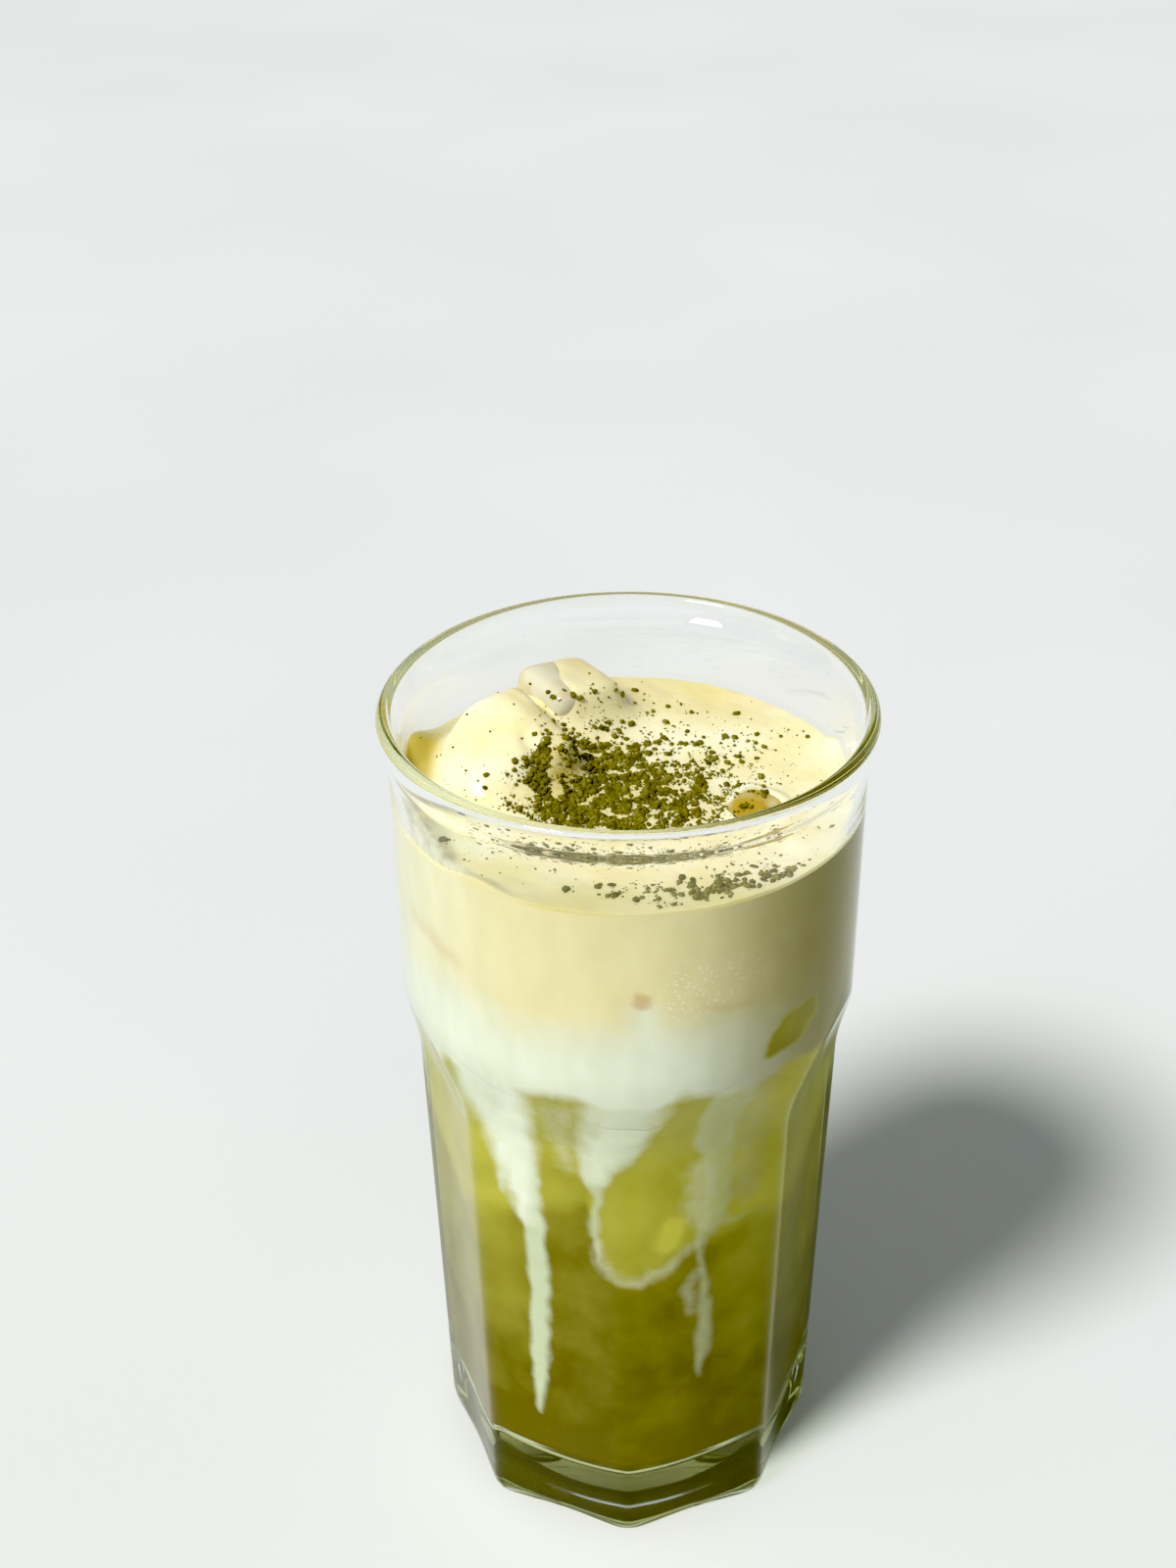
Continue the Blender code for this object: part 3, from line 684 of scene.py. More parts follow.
def cream_at_glass(tree, place, painted):
    """The cream's colour behind the wall: white below, yellow above, with runs, bubbles and spots, and
    painted shade on the right.
    """
    stretched = node(tree, "Mapping", Vector=place, Scale=(1.0, 1.0, RUN_STRETCH))
    run = node(tree, "TexNoise", Vector=stretched, Scale=1.0 / RUN, Detail=2.0, Roughness=0.5)
    running = node(tree, "MapRange", Value=run, **NOISE_RANGE)
    cells = node(tree, "TexVoronoi", Vector=place, Scale=1.0 / FOAM_CELL)
    bubble = node(tree, "MapRange", Value=cells, From_Min=0.15, From_Max=0.38, To_Min=1.0, To_Max=0.0)
    bubbles = node(tree, "Math", {"operation": "MULTIPLY"}, i0=bubble, i1=painted["foam"])
    full = node(tree, "Mix", COLOUR_MIX, i0=painted["yellow"], i6="ebeddc", i7="eee3b8")
    thin = node(tree, "Mix", COLOUR_MIX, i0=painted["yellow"], i6="e1e4d2", i7="e7dbae")
    cream = node(tree, "Mix", COLOUR_MIX, i0=running, i6=thin, i7=full)
    cream = node(tree, "Mix", COLOUR_MIX, i0=bubbles, i6=cream, i7="fffbe8")
    cream = node(tree, "Mix", COLOUR_MIX, i0=painted["tint"], i6=cream, i7="cba06a")
    # painted shade: the cream turns dark olive on the right-hand side
    return node(tree, "Mix", COLOUR_MIX, i0=painted["painted_right_shade"], i6=cream, i7="80742f")


def tea_at_glass(tree, place, painted, wisp):
    """The drink's colour: clouds of dark and light green on its painted light, and the streaks that run down
    in it, with painted shade on the right.
    """
    cloud = node(tree, "TexNoise", Vector=place, Scale=1.0 / CLOUD, Detail=3.0, Roughness=0.55)
    cloudy = node(tree, "MapRange", Value=cloud, To_Min=-CLOUD_LIGHT, To_Max=CLOUD_LIGHT, **NOISE_RANGE)
    light = node(tree, "Math", {"operation": "ADD", "use_clamp": True}, i0=painted["light"], i1=cloudy)
    tea = node(tree, "Mix", COLOUR_MIX, i0=light, i6="645800", i7="c4be54")
    # painted shade: the streaks turn darker on the right-hand side
    drip = node(tree, "Mix", COLOUR_MIX, i0=painted["painted_right_shade"], i6="c8d0b3", i7="97984c")
    streaky = frayed(tree, painted["streak"], wisp, 0.07, 0.95)
    return node(tree, "Mix", COLOUR_MIX, i0=streaky, i6=tea, i7=drip)


# %% Material: cloudy matcha with cream running into it, seen through the wet wall
MIRROR_TOP = 88.0 * MM            # above this the wall is coated with cream, which spoils the reflection
MIRROR_FADE = 10.0 * MM           # it is in full this much further down
LOW_ANGLE = 0.51                  # beyond this (1 is edge on) glass reflects all light back from water


def wet_wall(tree, place, shader):
    """At a low angle the wet wall turns into a mirror, but not where cream coats it."""
    facing = node(tree, "LayerWeight", Blend=0.5).outputs["Facing"]
    grazing = node(tree, "MapRange", Value=facing, From_Min=LOW_ANGLE - 0.02, From_Max=LOW_ANGLE + 0.03)
    height = node(tree, "SeparateXYZ", Vector=place).outputs["Z"]
    below = node(tree, "MapRange", Value=height, From_Min=MIRROR_TOP, From_Max=MIRROR_TOP - MIRROR_FADE)
    mirroring = node(tree, "Math", {"operation": "MULTIPLY"}, i0=grazing, i1=below)
    near_floor = node(tree, "MapRange", Value=height, From_Min=FLOOR_THICKNESS + 3.0 * MM,
                      From_Max=FLOOR_THICKNESS + 0.5 * MM)
    room = node(tree, "Mix", COLOUR_MIX, i0=near_floor, i6="e5e6ce", i7="bfbb80")
    mirror = node(tree, "BsdfAnisotropic", Color=room, Roughness=0.05)
    return node(tree, "MixShader", Fac=mirroring, i1=shader, i2=mirror)


def cloudy_tea():
    material, tree, place = new_material("cloudy_matcha_tea")
    painted = {name: node(tree, "Attribute", {"attribute_name": name}).outputs["Fac"]
               for name in ("milk", "yellow", "painted_right_shade", "light", "streak", "foam", "tint")}
    wisp = node(tree, "TexNoise", Vector=place, Scale=1.0 / WISP, Detail=4.0, Roughness=0.6)
    milky = frayed(tree, painted["milk"], wisp, 0.08, 0.92)
    colour = node(tree, "Mix", COLOUR_MIX, i0=milky, i6=tea_at_glass(tree, place, painted, wisp),
                  i7=cream_at_glass(tree, place, painted))
    shader = node(tree, "BsdfPrincipled", Base_Color=colour, Roughness=0.5, IOR=1.35,
                  Specular_IOR_Level=0.05, Subsurface_Weight=0.35, Subsurface_Radius=(1.0, 0.9, 0.4),
                  Subsurface_Scale=1.2 * MM)
    finish(tree, wet_wall(tree, place, shader))
    return material


# %% Build the drink
wall_material = cloudy_tea()
drink_mesh = spun("matcha_tea", drink_profile(), FILL_COLUMNS)
place_vertices(drink_mesh, settle_drink(places_of(drink_mesh)))
paint_wall(drink_mesh)
drink = shown(drink_mesh, wall_material)
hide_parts("matcha_drink")

# %% [markdown]
# ## Ice
#
# Ice cubes from a tray begin to melt as soon as the drink is poured: their edges round off and their
# sides turn uneven. A cube could be bevelled and smoothed. Here the vertices of a subdivided cube are
# moved out to a superellipsoid, whose power says how much of the cube is left, and noise makes the
# sides uneven. One cube is under a coat of cream, one is nearly bare, and one has all but sunk.

# %% Sizes and places of the ice
IceCube = namedtuple("IceCube", "middle edge turn lean skirt seed")    # skirt: cream drawn up round it
ICE_CUBES = {
    "ice_cube_coated": IceCube(
        (-21.8 * MM, 6.6 * MM, 138.9 * MM), 21.5 * MM, 38.0, (20.0, 0.0), 1.6 * MM, 3),
    "ice_cube_bare": IceCube(
        (-10.9 * MM, 24.6 * MM, 141.4 * MM), 14.4 * MM, 36.0, (-3.0, 8.0), 2.6 * MM, 11),
    "ice_cube_sunk": IceCube(
        (22.0 * MM, -8.0 * MM, 132.2 * MM), 17.0 * MM, -20.0, (11.0, 9.0), 0.0, 23),
}
ICE_POWER = 6.0                   # roundness of a melted cube: 2 is a ball, 20 a sharp cube
ICE_CUTS = 40
COAT_CUTS = 24                    # for a cube that only shapes the cream over it
ICE_UNEVENNESS = 0.4 * MM
ICE_LUMPS = 1.7                   # how many lumps that makes across a cube


def melted_cube(name, mesh_name, cuts=ICE_CUTS, grown=0.0):
    """The cube's mesh in its place: the solid's own form with more faces."""
    cube = ICE_CUBES[name]
    form = bmesh.new()
    bmesh.ops.create_cube(form, size=2.0)
    bmesh.ops.subdivide_edges(form, edges=form.edges, cuts=cuts, use_grid_fill=True)
    shift = Vector((cube.seed, -cube.seed, 2.0 * cube.seed))
    for vertex in form.verts:
        direction = vertex.co.normalized()
        size = sum(abs(part) ** ICE_POWER for part in direction) ** (-1.0 / ICE_POWER)
        uneven = ICE_UNEVENNESS * noise.noise(ICE_LUMPS * direction + shift)
        vertex.co = direction * (size * cube.edge / 2.0 + uneven + grown)
    lean = turn_about("Y", cube.lean[1]) @ turn_about("X", cube.lean[0])
    place = Matrix.Translation(cube.middle) @ lean @ turn_about("Z", cube.turn)
    bmesh.ops.transform(form, matrix=place, verts=form.verts)
    return as_mesh(form, mesh_name)


# %% [markdown]
# ## The cream
#
# The cream is thick enough to hold soft waves, to climb the glass a little and to lie over the ice as
# one skin. A voxel remesh could join the bodies, but it would leave the wall rough just where the
# glass shows it best. So a turned body gives a clean wall, and its top is lifted to a map of heights,
# a fine square grid of numbers, in the way that a landscape is made. The ice is laid on the level,
# and a blur lets the cream flow over its edges. One ridge is kept crisp, because the skin is thin
# there, with a dark crevice at its foot.

# %% The cream's level
def cream_height(places):
    """The cream's top: nearly level, drawn up at the glass and round the ice, with slow waves."""
    _, out = around_and_out(places)
    at_glass = MENISCUS * ease(share(out, MENISCUS_START, BORE_LIP))
    skirt = np.zeros(len(places))
    for cube in ICE_CUBES.values():
        apart = np.hypot(places[:, 0] - cube.middle[0], places[:, 1] - cube.middle[1])
        beyond = np.maximum(apart - cube.edge / 2.0, 0.0)
        skirt = np.maximum(skirt, cube.skirt * np.exp(-((beyond / SKIRT_LENGTH) ** 2)))
    return CREAM_LEVEL + rolling(places, *CREAM_WAVES) + at_glass + skirt


# %% The map of heights, and the ways to read, blur and mark it
MAP_STEP = 0.25 * MM              # between two points of the map
MAP_HALF = 38.5 * MM              # half its width, a little more than the bore
NOTHING_THERE = -1.0              # the height where a ray meets nothing
DOWN = Vector((0.0, 0.0, -1.0))
map_axis = np.arange(-MAP_HALF, MAP_HALF + MAP_STEP / 2.0, MAP_STEP)
map_places = np.array([(x, y, 0.0) for y in map_axis for x in map_axis])


def read_map(height_map, places):
    """The map's value at each place, read between its grid points."""
    last = len(map_axis) - 1.001
    column = np.clip((places[:, 0] + MAP_HALF) / MAP_STEP, 0.0, last)
    row = np.clip((places[:, 1] + MAP_HALF) / MAP_STEP, 0.0, last)
    i, j = row.astype(int), column.astype(int)
    near = mix(height_map[i, j], height_map[i, j + 1], column - j)
    far = mix(height_map[i + 1, j], height_map[i + 1, j + 1], column - j)
    return mix(near, far, row - i)


def as_map(values):
    """One value for each place of the map, as rows and columns."""
    return np.reshape(values, (len(map_axis), len(map_axis)))


def blurred(height_map, length):
    """The map blurred over a length, through its waves: long ones stay and short ones fade."""
    turns = np.fft.fftfreq(len(map_axis), MAP_STEP)
    fade = np.exp(-2.0 * (math.pi * length) ** 2 * (turns[:, None] ** 2 + turns[None, :] ** 2))
    return np.real(np.fft.ifft2(np.fft.fft2(height_map) * fade))


def surface_under(mesh, places):
    """The height of a mesh's top at each place, or a depth far below where there is none."""
    tree = BVHTree.FromPolygons([v.co[:] for v in mesh.vertices], [f.vertices[:] for f in mesh.polygons])
    hits = [tree.ray_cast(Vector((x, y, 2.0 * GLASS_HEIGHT)), DOWN)[0] for x, y, _ in places]
    return np.array([NOTHING_THERE if hit is None else hit.z for hit in hits])


def distance_to(line, places):
    """How far each place is, seen from above, from a line of (x, y) points in mm."""
    nearest = np.full(len(places), 1.0)
    for a, b in zip(line, line[1:]):
        start, run = MM * np.array(a), MM * (np.array(b) - np.array(a))
        from_start = places[:, :2] - start
        along = np.clip(from_start @ run / (run @ run), 0.0, 1.0)
        nearest = np.minimum(nearest, np.linalg.norm(from_start - along[:, None] * run, axis=1))
    return nearest


# %% What shapes the top: ice under it, ridge, crevice, notch, and cream drawn up at the glass
COAT = 0.35 * MM                  # thickness of cream on the coated cube
FLOW = 2.3 * MM                   # how far the cream's blur reaches where it flows over the ice
CRISP = 0.35 * MM                 # and where the skin is thin
ICE_FLOW = 0.6 * MM               # and over the bare cube, once tight
ICE_FLOW_WIDE = 3.5 * ICE_FLOW    # and once wide, for the foot of it
RIDGE = ((-20.5, 20.0), (-14.5, 12.5), (-10.2, 6.5), (-9.0, 3.5), (-10.5, -1.5))
RIDGE_REACH = (0.8 * MM, 4.5 * MM)     # crisp up to the first distance from it, soft beyond the second
CREVICE = ((-8.6, 6.8), (-9.9, 9.3), (-12.0, 12.0))
CREVICE_WIDTH, CREVICE_DEPTH = 0.9 * MM, 2.6 * MM
NOTCH = ((-17.0, 2.5), (-15.2, -0.5), (-15.6, -3.5))    # where the skin has torn and powder gathers
NOTCH_WIDTH, NOTCH_DEPTH = 1.1 * MM, 0.8 * MM
Climb = namedtuple("Climb", "around width height reach")    # cream drawn up at the glass
CLIMBS = (
    Climb(-100.0, 13.0, 4.4 * MM, 5.5 * MM),
    Climb(108.0, 4.5, 1.7 * MM, 3.0 * MM),
    Climb(98.0, 8.0, 0.7 * MM, 3.0 * MM),
    Climb(-38.0, 7.0, 1.2 * MM, 2.5 * MM),
)
CLIMB_END = BORE_LIP - 0.3 * MM   # it is highest from this radius outwards
DOME_END = 34.5 * MM              # the cream over the ice has come down to the level at this radius
DOME_FADE = 6.5 * MM              # and begins to come down this much further in

# %% The bare cube: bare on its left, with a coat over its top and sides on its right
BARE_COAT = 0.8 * MM              # the coat's thickness at the sides: on top it is half of that
BARE_SINK = 0.45 * MM             # on the left, the cream stays this far under the ice
BARE_CREASE = (-10.6 * MM, 16.0 * MM)    # where the coat begins, at this x for this y
BARE_CREASE_SLOPE = -0.25
CREASE_WIDTH = 1.2 * MM
CREASE_WAVES = (1.2 * MM, 4.0 * MM, 11.0)     # height, length and shift
bare_mesh = melted_cube("ice_cube_bare", "bare_ice")


def half_coated(places):
    """The cream at the bare cube: under the ice on the left, over it on the right."""
    bare = surface_under(bare_mesh, places) - BARE_SINK
    grown = melted_cube("ice_cube_bare", "bare_coat", COAT_CUTS, BARE_COAT)
    coated = surface_under(grown, places) - 0.5 * BARE_COAT
    crease = BARE_CREASE[0] + (places[:, 1] - BARE_CREASE[1]) * BARE_CREASE_SLOPE
    past_crease = places[:, 0] - crease + waves(places, *CREASE_WAVES)
    return as_map(mix(bare, coated, ease(share(past_crease, 0.0, CREASE_WIDTH))))


# %% The sunken cube: it shows in an oval opening
OVAL_MIDDLE, OVAL_RADIUS = (21.4 * MM, -7.9 * MM), 4.7 * MM    # where the sunken ice breaks the surface
OVAL_DIP = 0.5 * MM
OVAL_WAVES = (0.9 * MM, 3.5 * MM, 2.0)
OVAL_EDGE = 0.35 * MM             # half the width of its edge
OVAL_LIP, OVAL_LIP_WIDTH, OVAL_LIP_OUT = 0.35 * MM, 0.9 * MM, 0.8 * MM    # the lip that stands round it
SUNK_COAT, SUNK_FLOW = 0.25 * MM, 0.5 * MM    # the cream over the rest of that cube, and its blur
sunk_mesh = melted_cube("ice_cube_sunk", "sunken_ice")


def open_oval(top, places, ice):
    """Lets the sunken ice show: the cream dips inside the oval and stands up in a lip round it."""
    apart = as_map(np.hypot(places[:, 0] - OVAL_MIDDLE[0], places[:, 1] - OVAL_MIDDLE[1]))
    apart = apart + as_map(waves(places, *OVAL_WAVES))
    inside = ease(share(apart, OVAL_RADIUS + OVAL_EDGE, OVAL_RADIUS - OVAL_EDGE))
    closed = blurred(np.maximum(top, ice + SUNK_COAT), SUNK_FLOW)
    lip = OVAL_LIP * np.exp(-(((apart - OVAL_RADIUS - OVAL_LIP_OUT) / OVAL_LIP_WIDTH) ** 2))
    return mix(closed + lip, np.minimum(top, ice) - OVAL_DIP, inside)


# %% Shape the top
RIPPLES = ((0.12 * MM, 3.2 * MM, 6.0), (0.05 * MM, 1.1 * MM, 7.0))    # height, length and shift


def groove(line, places, width, depth):
    """A soft groove along a line."""
    return depth * np.exp(-((as_map(distance_to(line, places)) / width) ** 2))


def climbing(places):
    """How far the cream is drawn up at the glass, over the meniscus."""
    around, out = around_and_out(places)
    total = np.zeros(len(places))
    for climb in CLIMBS:
        turned = (around - climb.around + 180.0) % 360.0 - 180.0
        rise = ease(share(out, BORE_LIP - climb.reach, CLIMB_END))
        total += climb.height * rise * np.exp(-((turned / climb.width) ** 2))
    return as_map(total)


def skin_heights(places):
    """The top of the cream on the map, before the oval and the finest ripples."""
    level = as_map(cream_height(places))
    coat = melted_cube("ice_cube_coated", "coat", COAT_CUTS, COAT)
    top = np.maximum(level, as_map(surface_under(coat, places)))
    crisp = 1.0 - ease(share(as_map(distance_to(RIDGE, places)), *RIDGE_REACH))
    top = mix(blurred(top, FLOW), blurred(top, CRISP), crisp)
    _, out = around_and_out(places)
    near_wall = as_map(ease(share(out, DOME_END - DOME_FADE, DOME_END)))
    top = mix(top, np.minimum(top, level), near_wall)
    iced = np.maximum(top, half_coated(places))
    top = np.maximum(np.maximum(blurred(iced, ICE_FLOW), blurred(iced, ICE_FLOW_WIDE)), top)
    top = top + climbing(places) - groove(CREVICE, places, CREVICE_WIDTH, CREVICE_DEPTH)
    return top - groove(NOTCH, places, NOTCH_WIDTH, NOTCH_DEPTH)


top_map = skin_heights(map_places)
top_map = open_oval(top_map, map_places, as_map(surface_under(sunk_mesh, map_places)))
top_map += as_map(sum(waves(map_places, *ripple) for ripple in RIPPLES))
print("cream's top, mm:", round(top_map.min() / MM, 1), "to", round(top_map.max() / MM, 1))

# %% Body of the cream
TOP_RINGS = 120
CREAM_ROWS = 60
CREAM_WALL_TOP = 140.0 * MM       # the rows of the wall end here in the turned shape
CREAM_TOP_MARK = CREAM_LEVEL + 5.0 * MM      # the top is turned level, at this height, by which it is
CREAM_FOOT_MARK = MIX_LEVEL - 12.0 * MM      # known when it is moved, and so is the underside
LAST_ROW = 0.05 * MM              # a short last row keeps the shading of the edge short
CREAM_OVERLAP = 0.3 * MM          # how far the cream's foot lies under the boundary
WALL_GAP = 0.4 * MM               # between the top and the first row of the wall


def cream_profile():
    """From the axis over the top, down the wall and back under."""
    over = [(radius, CREAM_TOP_MARK) for radius in steps(0.0, fill_radius(CREAM_LEVEL), TOP_RINGS)]
    heights = steps(CREAM_WALL_TOP, MIX_LEVEL, CREAM_ROWS)[:-1] + [MIX_LEVEL + LAST_ROW, MIX_LEVEL]
    wall = [(fill_radius(height), height) for height in heights]
    under = [(radius, CREAM_FOOT_MARK) for radius in steps(fill_radius(MIX_LEVEL), 0.0, MIX_RINGS)]
    return over + wall + under


def settle_cream(places):
    """Lifts the top to the map and the underside to the boundary, and closes the wall between them."""
    _, out = around_and_out(places)
    turned = places[:, 2]
    top = read_map(top_map, places)
    foot = mix_height(places) - CREAM_OVERLAP
    up_wall = share(turned, MIX_LEVEL, CREAM_WALL_TOP)
    settled = mix(foot, np.minimum(top, CREAM_LEVEL) - WALL_GAP, up_wall)
    settled = np.where(np.abs(turned - CREAM_TOP_MARK) < NO_LENGTH, top, settled)
    settled = np.where(np.abs(turned - CREAM_FOOT_MARK) < NO_LENGTH, foot, settled)
    at_rim = out > fill_radius(CREAM_LEVEL) - 0.1 * MM
    on_wall = (turned < CREAM_WALL_TOP + 0.5 * MM) & (turned > MIX_LEVEL - 1.0 * MM)
    kept_in = np.minimum(out, fill_radius(settled))
    radius = np.where(at_rim | on_wall, fill_radius(settled), kept_in)
    factor = radius / np.maximum(out, NO_LENGTH)
    return np.stack([places[:, 0] * factor, places[:, 1] * factor, settled], axis=1)


cream_mesh = spun("sweet_cream", cream_profile(), FILL_COLUMNS)
place_vertices(cream_mesh, settle_cream(places_of(cream_mesh)))
paint_wall(cream_mesh)

# %% [markdown]
# ### A smear above the cream
#
# Where cream has washed up and run back, a film of it stays on the inside of the glass. It is far too
# thin to belong to the solid. A strip of the wall is turned, what lies outside the smear is deleted,
# and solidify gives the rest a thickness. Fine holes in the film come from its material.

# %% Material: a film of cream, torn where it runs off the glass
SMEARS = (
    Stroke(1.6, 0.95, ((-92, 145, 2.4), (-76, 144, 3.4), (-62, 143, 2.8), (-50, 142, 2.0), (-40, 141, 1.2))),
    Stroke(1.2, 0.6, ((-66, 147.5, 1.6), (-58, 146.2, 1.2), (-50, 144.6, 0.6))),
    Stroke(1.2, 0.55, ((96, 144.2, 1.4), (84, 143.4, 1.8), (74, 142.4, 1.0))),
)
SMEAR_TOP = 151.0 * MM
SMEAR_ROWS = 26
SMEAR_CLEARANCE = 0.05 * MM       # between the wall and the film
SMEAR_THICKNESS = 0.06 * MM
SMEAR_LEAST = 0.03                # where the film is fainter than this there is none
TEAR = 3.6 * MM                   # size of the holes in it


def smeared_film():
    material, tree, place = new_material("film_of_cream")
    film = node(tree, "Attribute", {"attribute_name": "film"}).outputs["Fac"]
    torn = node(tree, "TexNoise", Vector=place, Scale=1.0 / TEAR, Detail=3.0, Roughness=0.55)
    torn = node(tree, "MapRange", Value=torn, From_Min=0.28, From_Max=0.62)
    cover = node(tree, "Math", {"operation": "MULTIPLY"}, i0=film, i1=torn)
    cream_skin = node(tree, "BsdfPrincipled", Base_Color="f6f3dd", Roughness=0.4, IOR=1.45)
    clear = node(tree, "BsdfTransparent", Color="ffffff")
    finish(tree, node(tree, "MixShader", Fac=cover, i1=clear, i2=cream_skin))
    return material


# %% Build the film
def film_on_wall():
    """A strip of the wall, cut down to the smears and given a thickness."""
    heights = steps(CREAM_LEVEL - 1.0 * MM, SMEAR_TOP, SMEAR_ROWS)
    profile = [(inner_radius(height) - SMEAR_CLEARANCE, height) for height in heights]
    mesh = spun("cream_smear", profile, FILL_COLUMNS)
    film = covered(SMEARS, *wobbled(places_of(mesh)))
    store(mesh, "film", film)
    form = bmesh.new()
    form.from_mesh(mesh)
    form.verts.ensure_lookup_table()
    bare = [vertex for vertex in form.verts if film[vertex.index] < SMEAR_LEAST]
    bmesh.ops.delete(form, geom=bare, context="VERTS")
    bmesh.ops.solidify(form, geom=form.faces[:], thickness=SMEAR_THICKNESS)
    form.to_mesh(mesh)
    form.free()
    return mesh


shown(film_on_wall(), smeared_film())

# %% [markdown]
# ## Matcha powder
#
# The powder is sifted over the cream: a heap in the middle, a drift against the glass, and single
# grains flung wide. The largest clumps lie where the solid has them. Finer ones and single grains
# are added by the thousand. A particle system could scatter them, but particles are lost in an
# export, so every grain is real mesh: one small stone, copied with its own size and turn.

# %% Where the clumps lie
POWDER_SEED = 7
POWDER_CLUMPS = 135
Patch = namedtuple("Patch", "middle spread share")    # share: of all the clumps
POWDER_PATCHES = (
    Patch((3.0 * MM, -6.0 * MM), (7.6 * MM, 5.6 * MM), 0.62),
    Patch((-3.5 * MM, 7.0 * MM), (3.4 * MM, 6.0 * MM), 0.24),
    Patch((16.0 * MM, -28.6 * MM), (6.0 * MM, 2.0 * MM), 0.14),
)
LOOSENESS = (0.75, 1.0, 1.6)      # a patch is drawn tight, as it is, or loose
POWDER_EDGE = 36.0 * MM           # no powder lies further out than this
CLUMP_RADII = (0.45 * MM, 0.95 * MM)
CLUMP_SEAT = 0.15                 # how far a clump's middle lies over the cream, in radii
CLUMP_APART = 1.08                # least distance between two clumps, in sums of their radii
CLUMP_OFF_ICE = 1.0 * MM


def on_ice(x, y, margin):
    """Whether a point of the cream lies on one of the ice cubes, or within a margin of it."""
    for cube in ICE_CUBES.values():
        offset = Vector((x - cube.middle[0], y - cube.middle[1], 0.0))
        across = turn_about("Z", -cube.turn) @ offset
        if max(abs(across.x), abs(across.y)) < cube.edge / 2.0 + margin:
            return True
    return False


def clump_places():
    """Middles and radii of the largest clumps, the same as the solid has."""
    draw = random.Random(POWDER_SEED)
    shares = [patch.share for patch in POWDER_PATCHES]
    placed = []
    while len(placed) < POWDER_CLUMPS:
        patch = draw.choices(POWDER_PATCHES, shares)[0]
        looseness = draw.choice(LOOSENESS)
        x = draw.gauss(patch.middle[0], patch.spread[0] * looseness)
        y = draw.gauss(patch.middle[1], patch.spread[1] * looseness)
        radius = float(mix(*CLUMP_RADII, draw.random() ** 2 / looseness))
        if math.hypot(x, y) + radius > POWDER_EDGE or on_ice(x, y, radius + CLUMP_OFF_ICE):
            continue
        if all(math.hypot(x - a, y - b) > CLUMP_APART * (radius + r) for a, b, r in placed):
            placed.append((x, y, radius))
    return placed


# %% Where the finer powder lies
Dusting = namedtuple("Dusting", "middle spread turn share")    # an oval patch, its turn in degrees
DUSTINGS = (
    Dusting((-3.8 * MM, -6.0 * MM), (6.2 * MM, 4.4 * MM), 0.0, 0.40),
    Dusting((-4.0 * MM, 7.0 * MM), (4.4 * MM, 5.4 * MM), 14.0, 0.12),
    Dusting((10.0 * MM, -3.0 * MM), (4.2 * MM, 5.4 * MM), 0.0, 0.07),
    Dusting((-1.0 * MM, -13.0 * MM), (7.5 * MM, 3.0 * MM), 0.0, 0.09),
    Dusting((2.0 * MM, 6.0 * MM), (7.0 * MM, 6.0 * MM), 0.0, 0.06),
    Dusting((-14.2 * MM, -1.5 * MM), (1.6 * MM, 3.4 * MM), -10.0, 0.06),
    Dusting((16.5 * MM, -28.6 * MM), (5.6 * MM, 1.9 * MM), 22.0, 0.05),
    Dusting((5.0 * MM, -30.5 * MM), (7.0 * MM, 1.4 * MM), 0.0, 0.015),
    Dusting((14.0 * MM, 20.0 * MM), (12.0 * MM, 8.0 * MM), 0.0, 0.012),
    Dusting((15.0 * MM, 3.0 * MM), (7.0 * MM, 8.0 * MM), 0.0, 0.03),
    Dusting((-20.0 * MM, -8.0 * MM), (5.0 * MM, 9.0 * MM), 0.0, 0.012),
)
PATCHINESS = 2.6 * MM             # size of the gaps in the powder
CHANCE, CHANCE_SWING = 0.42, 1.25      # how likely a grain stays, and how much the gaps change that
STEEP_ICE_END = 4.0 * MM          # the ice to the left of this x is steep, and keeps little powder,
STEEP_ICE_KEEPS = 0.15
ICE_FOOT = -2.0 * MM              # but for a margin at its foot


def dusted_spots(count, seed, spread=1.0, gaps=1.0):
    """Random spots on the cream, crowded where the powder fell and with gaps between."""
    draw = np.random.default_rng(seed)
    spots = []
    shares = np.array([dusting.share for dusting in DUSTINGS])
    while len(spots) < count:
        dusting = DUSTINGS[draw.choice(len(DUSTINGS), p=shares / shares.sum())]
        x, y = draw.normal(0.0, 1.0, 2) * np.array(dusting.spread) * spread
        turn = math.radians(dusting.turn)
        x, y = x * math.cos(turn) - y * math.sin(turn), x * math.sin(turn) + y * math.cos(turn)
        x, y = x + dusting.middle[0], y + dusting.middle[1]
        gap = noise.noise(Vector((x / PATCHINESS, y / PATCHINESS, 4.0)))
        chance = CHANCE + CHANCE_SWING * gap / gaps
        if x < STEEP_ICE_END and on_ice(x, y, ICE_FOOT):
            chance *= STEEP_ICE_KEEPS
        if math.hypot(x, y) < POWDER_EDGE and draw.random() < chance:
            spots.append((x, y))
    return np.array(spots)


# %% [markdown]
# ### The cream's finish
#
# Sweet cream whipped until it just holds is a pale warm yellow, smooth and a little wet, and light
# sinks into it. Fine powder tints it ochre round the heap, so the cream also stores how much powder
# lies near each vertex.

# %% Material: sweet cream, whipped until it just holds
TONES = 10.0 * MM                 # size of its warmer and paler places
DUST_GRAIN = 0.6 * MM             # grain of the powder that has sunk in, far coarser than it really is
CREAM_GRAIN = 2.0 * MM            # size of the fine unevenness that whipping leaves
CREAM_GRAIN_HEIGHT = 0.3 * MM
CREAM_EDGE = math.radians(55.0)   # turns sharper than this, at the glass, are edges


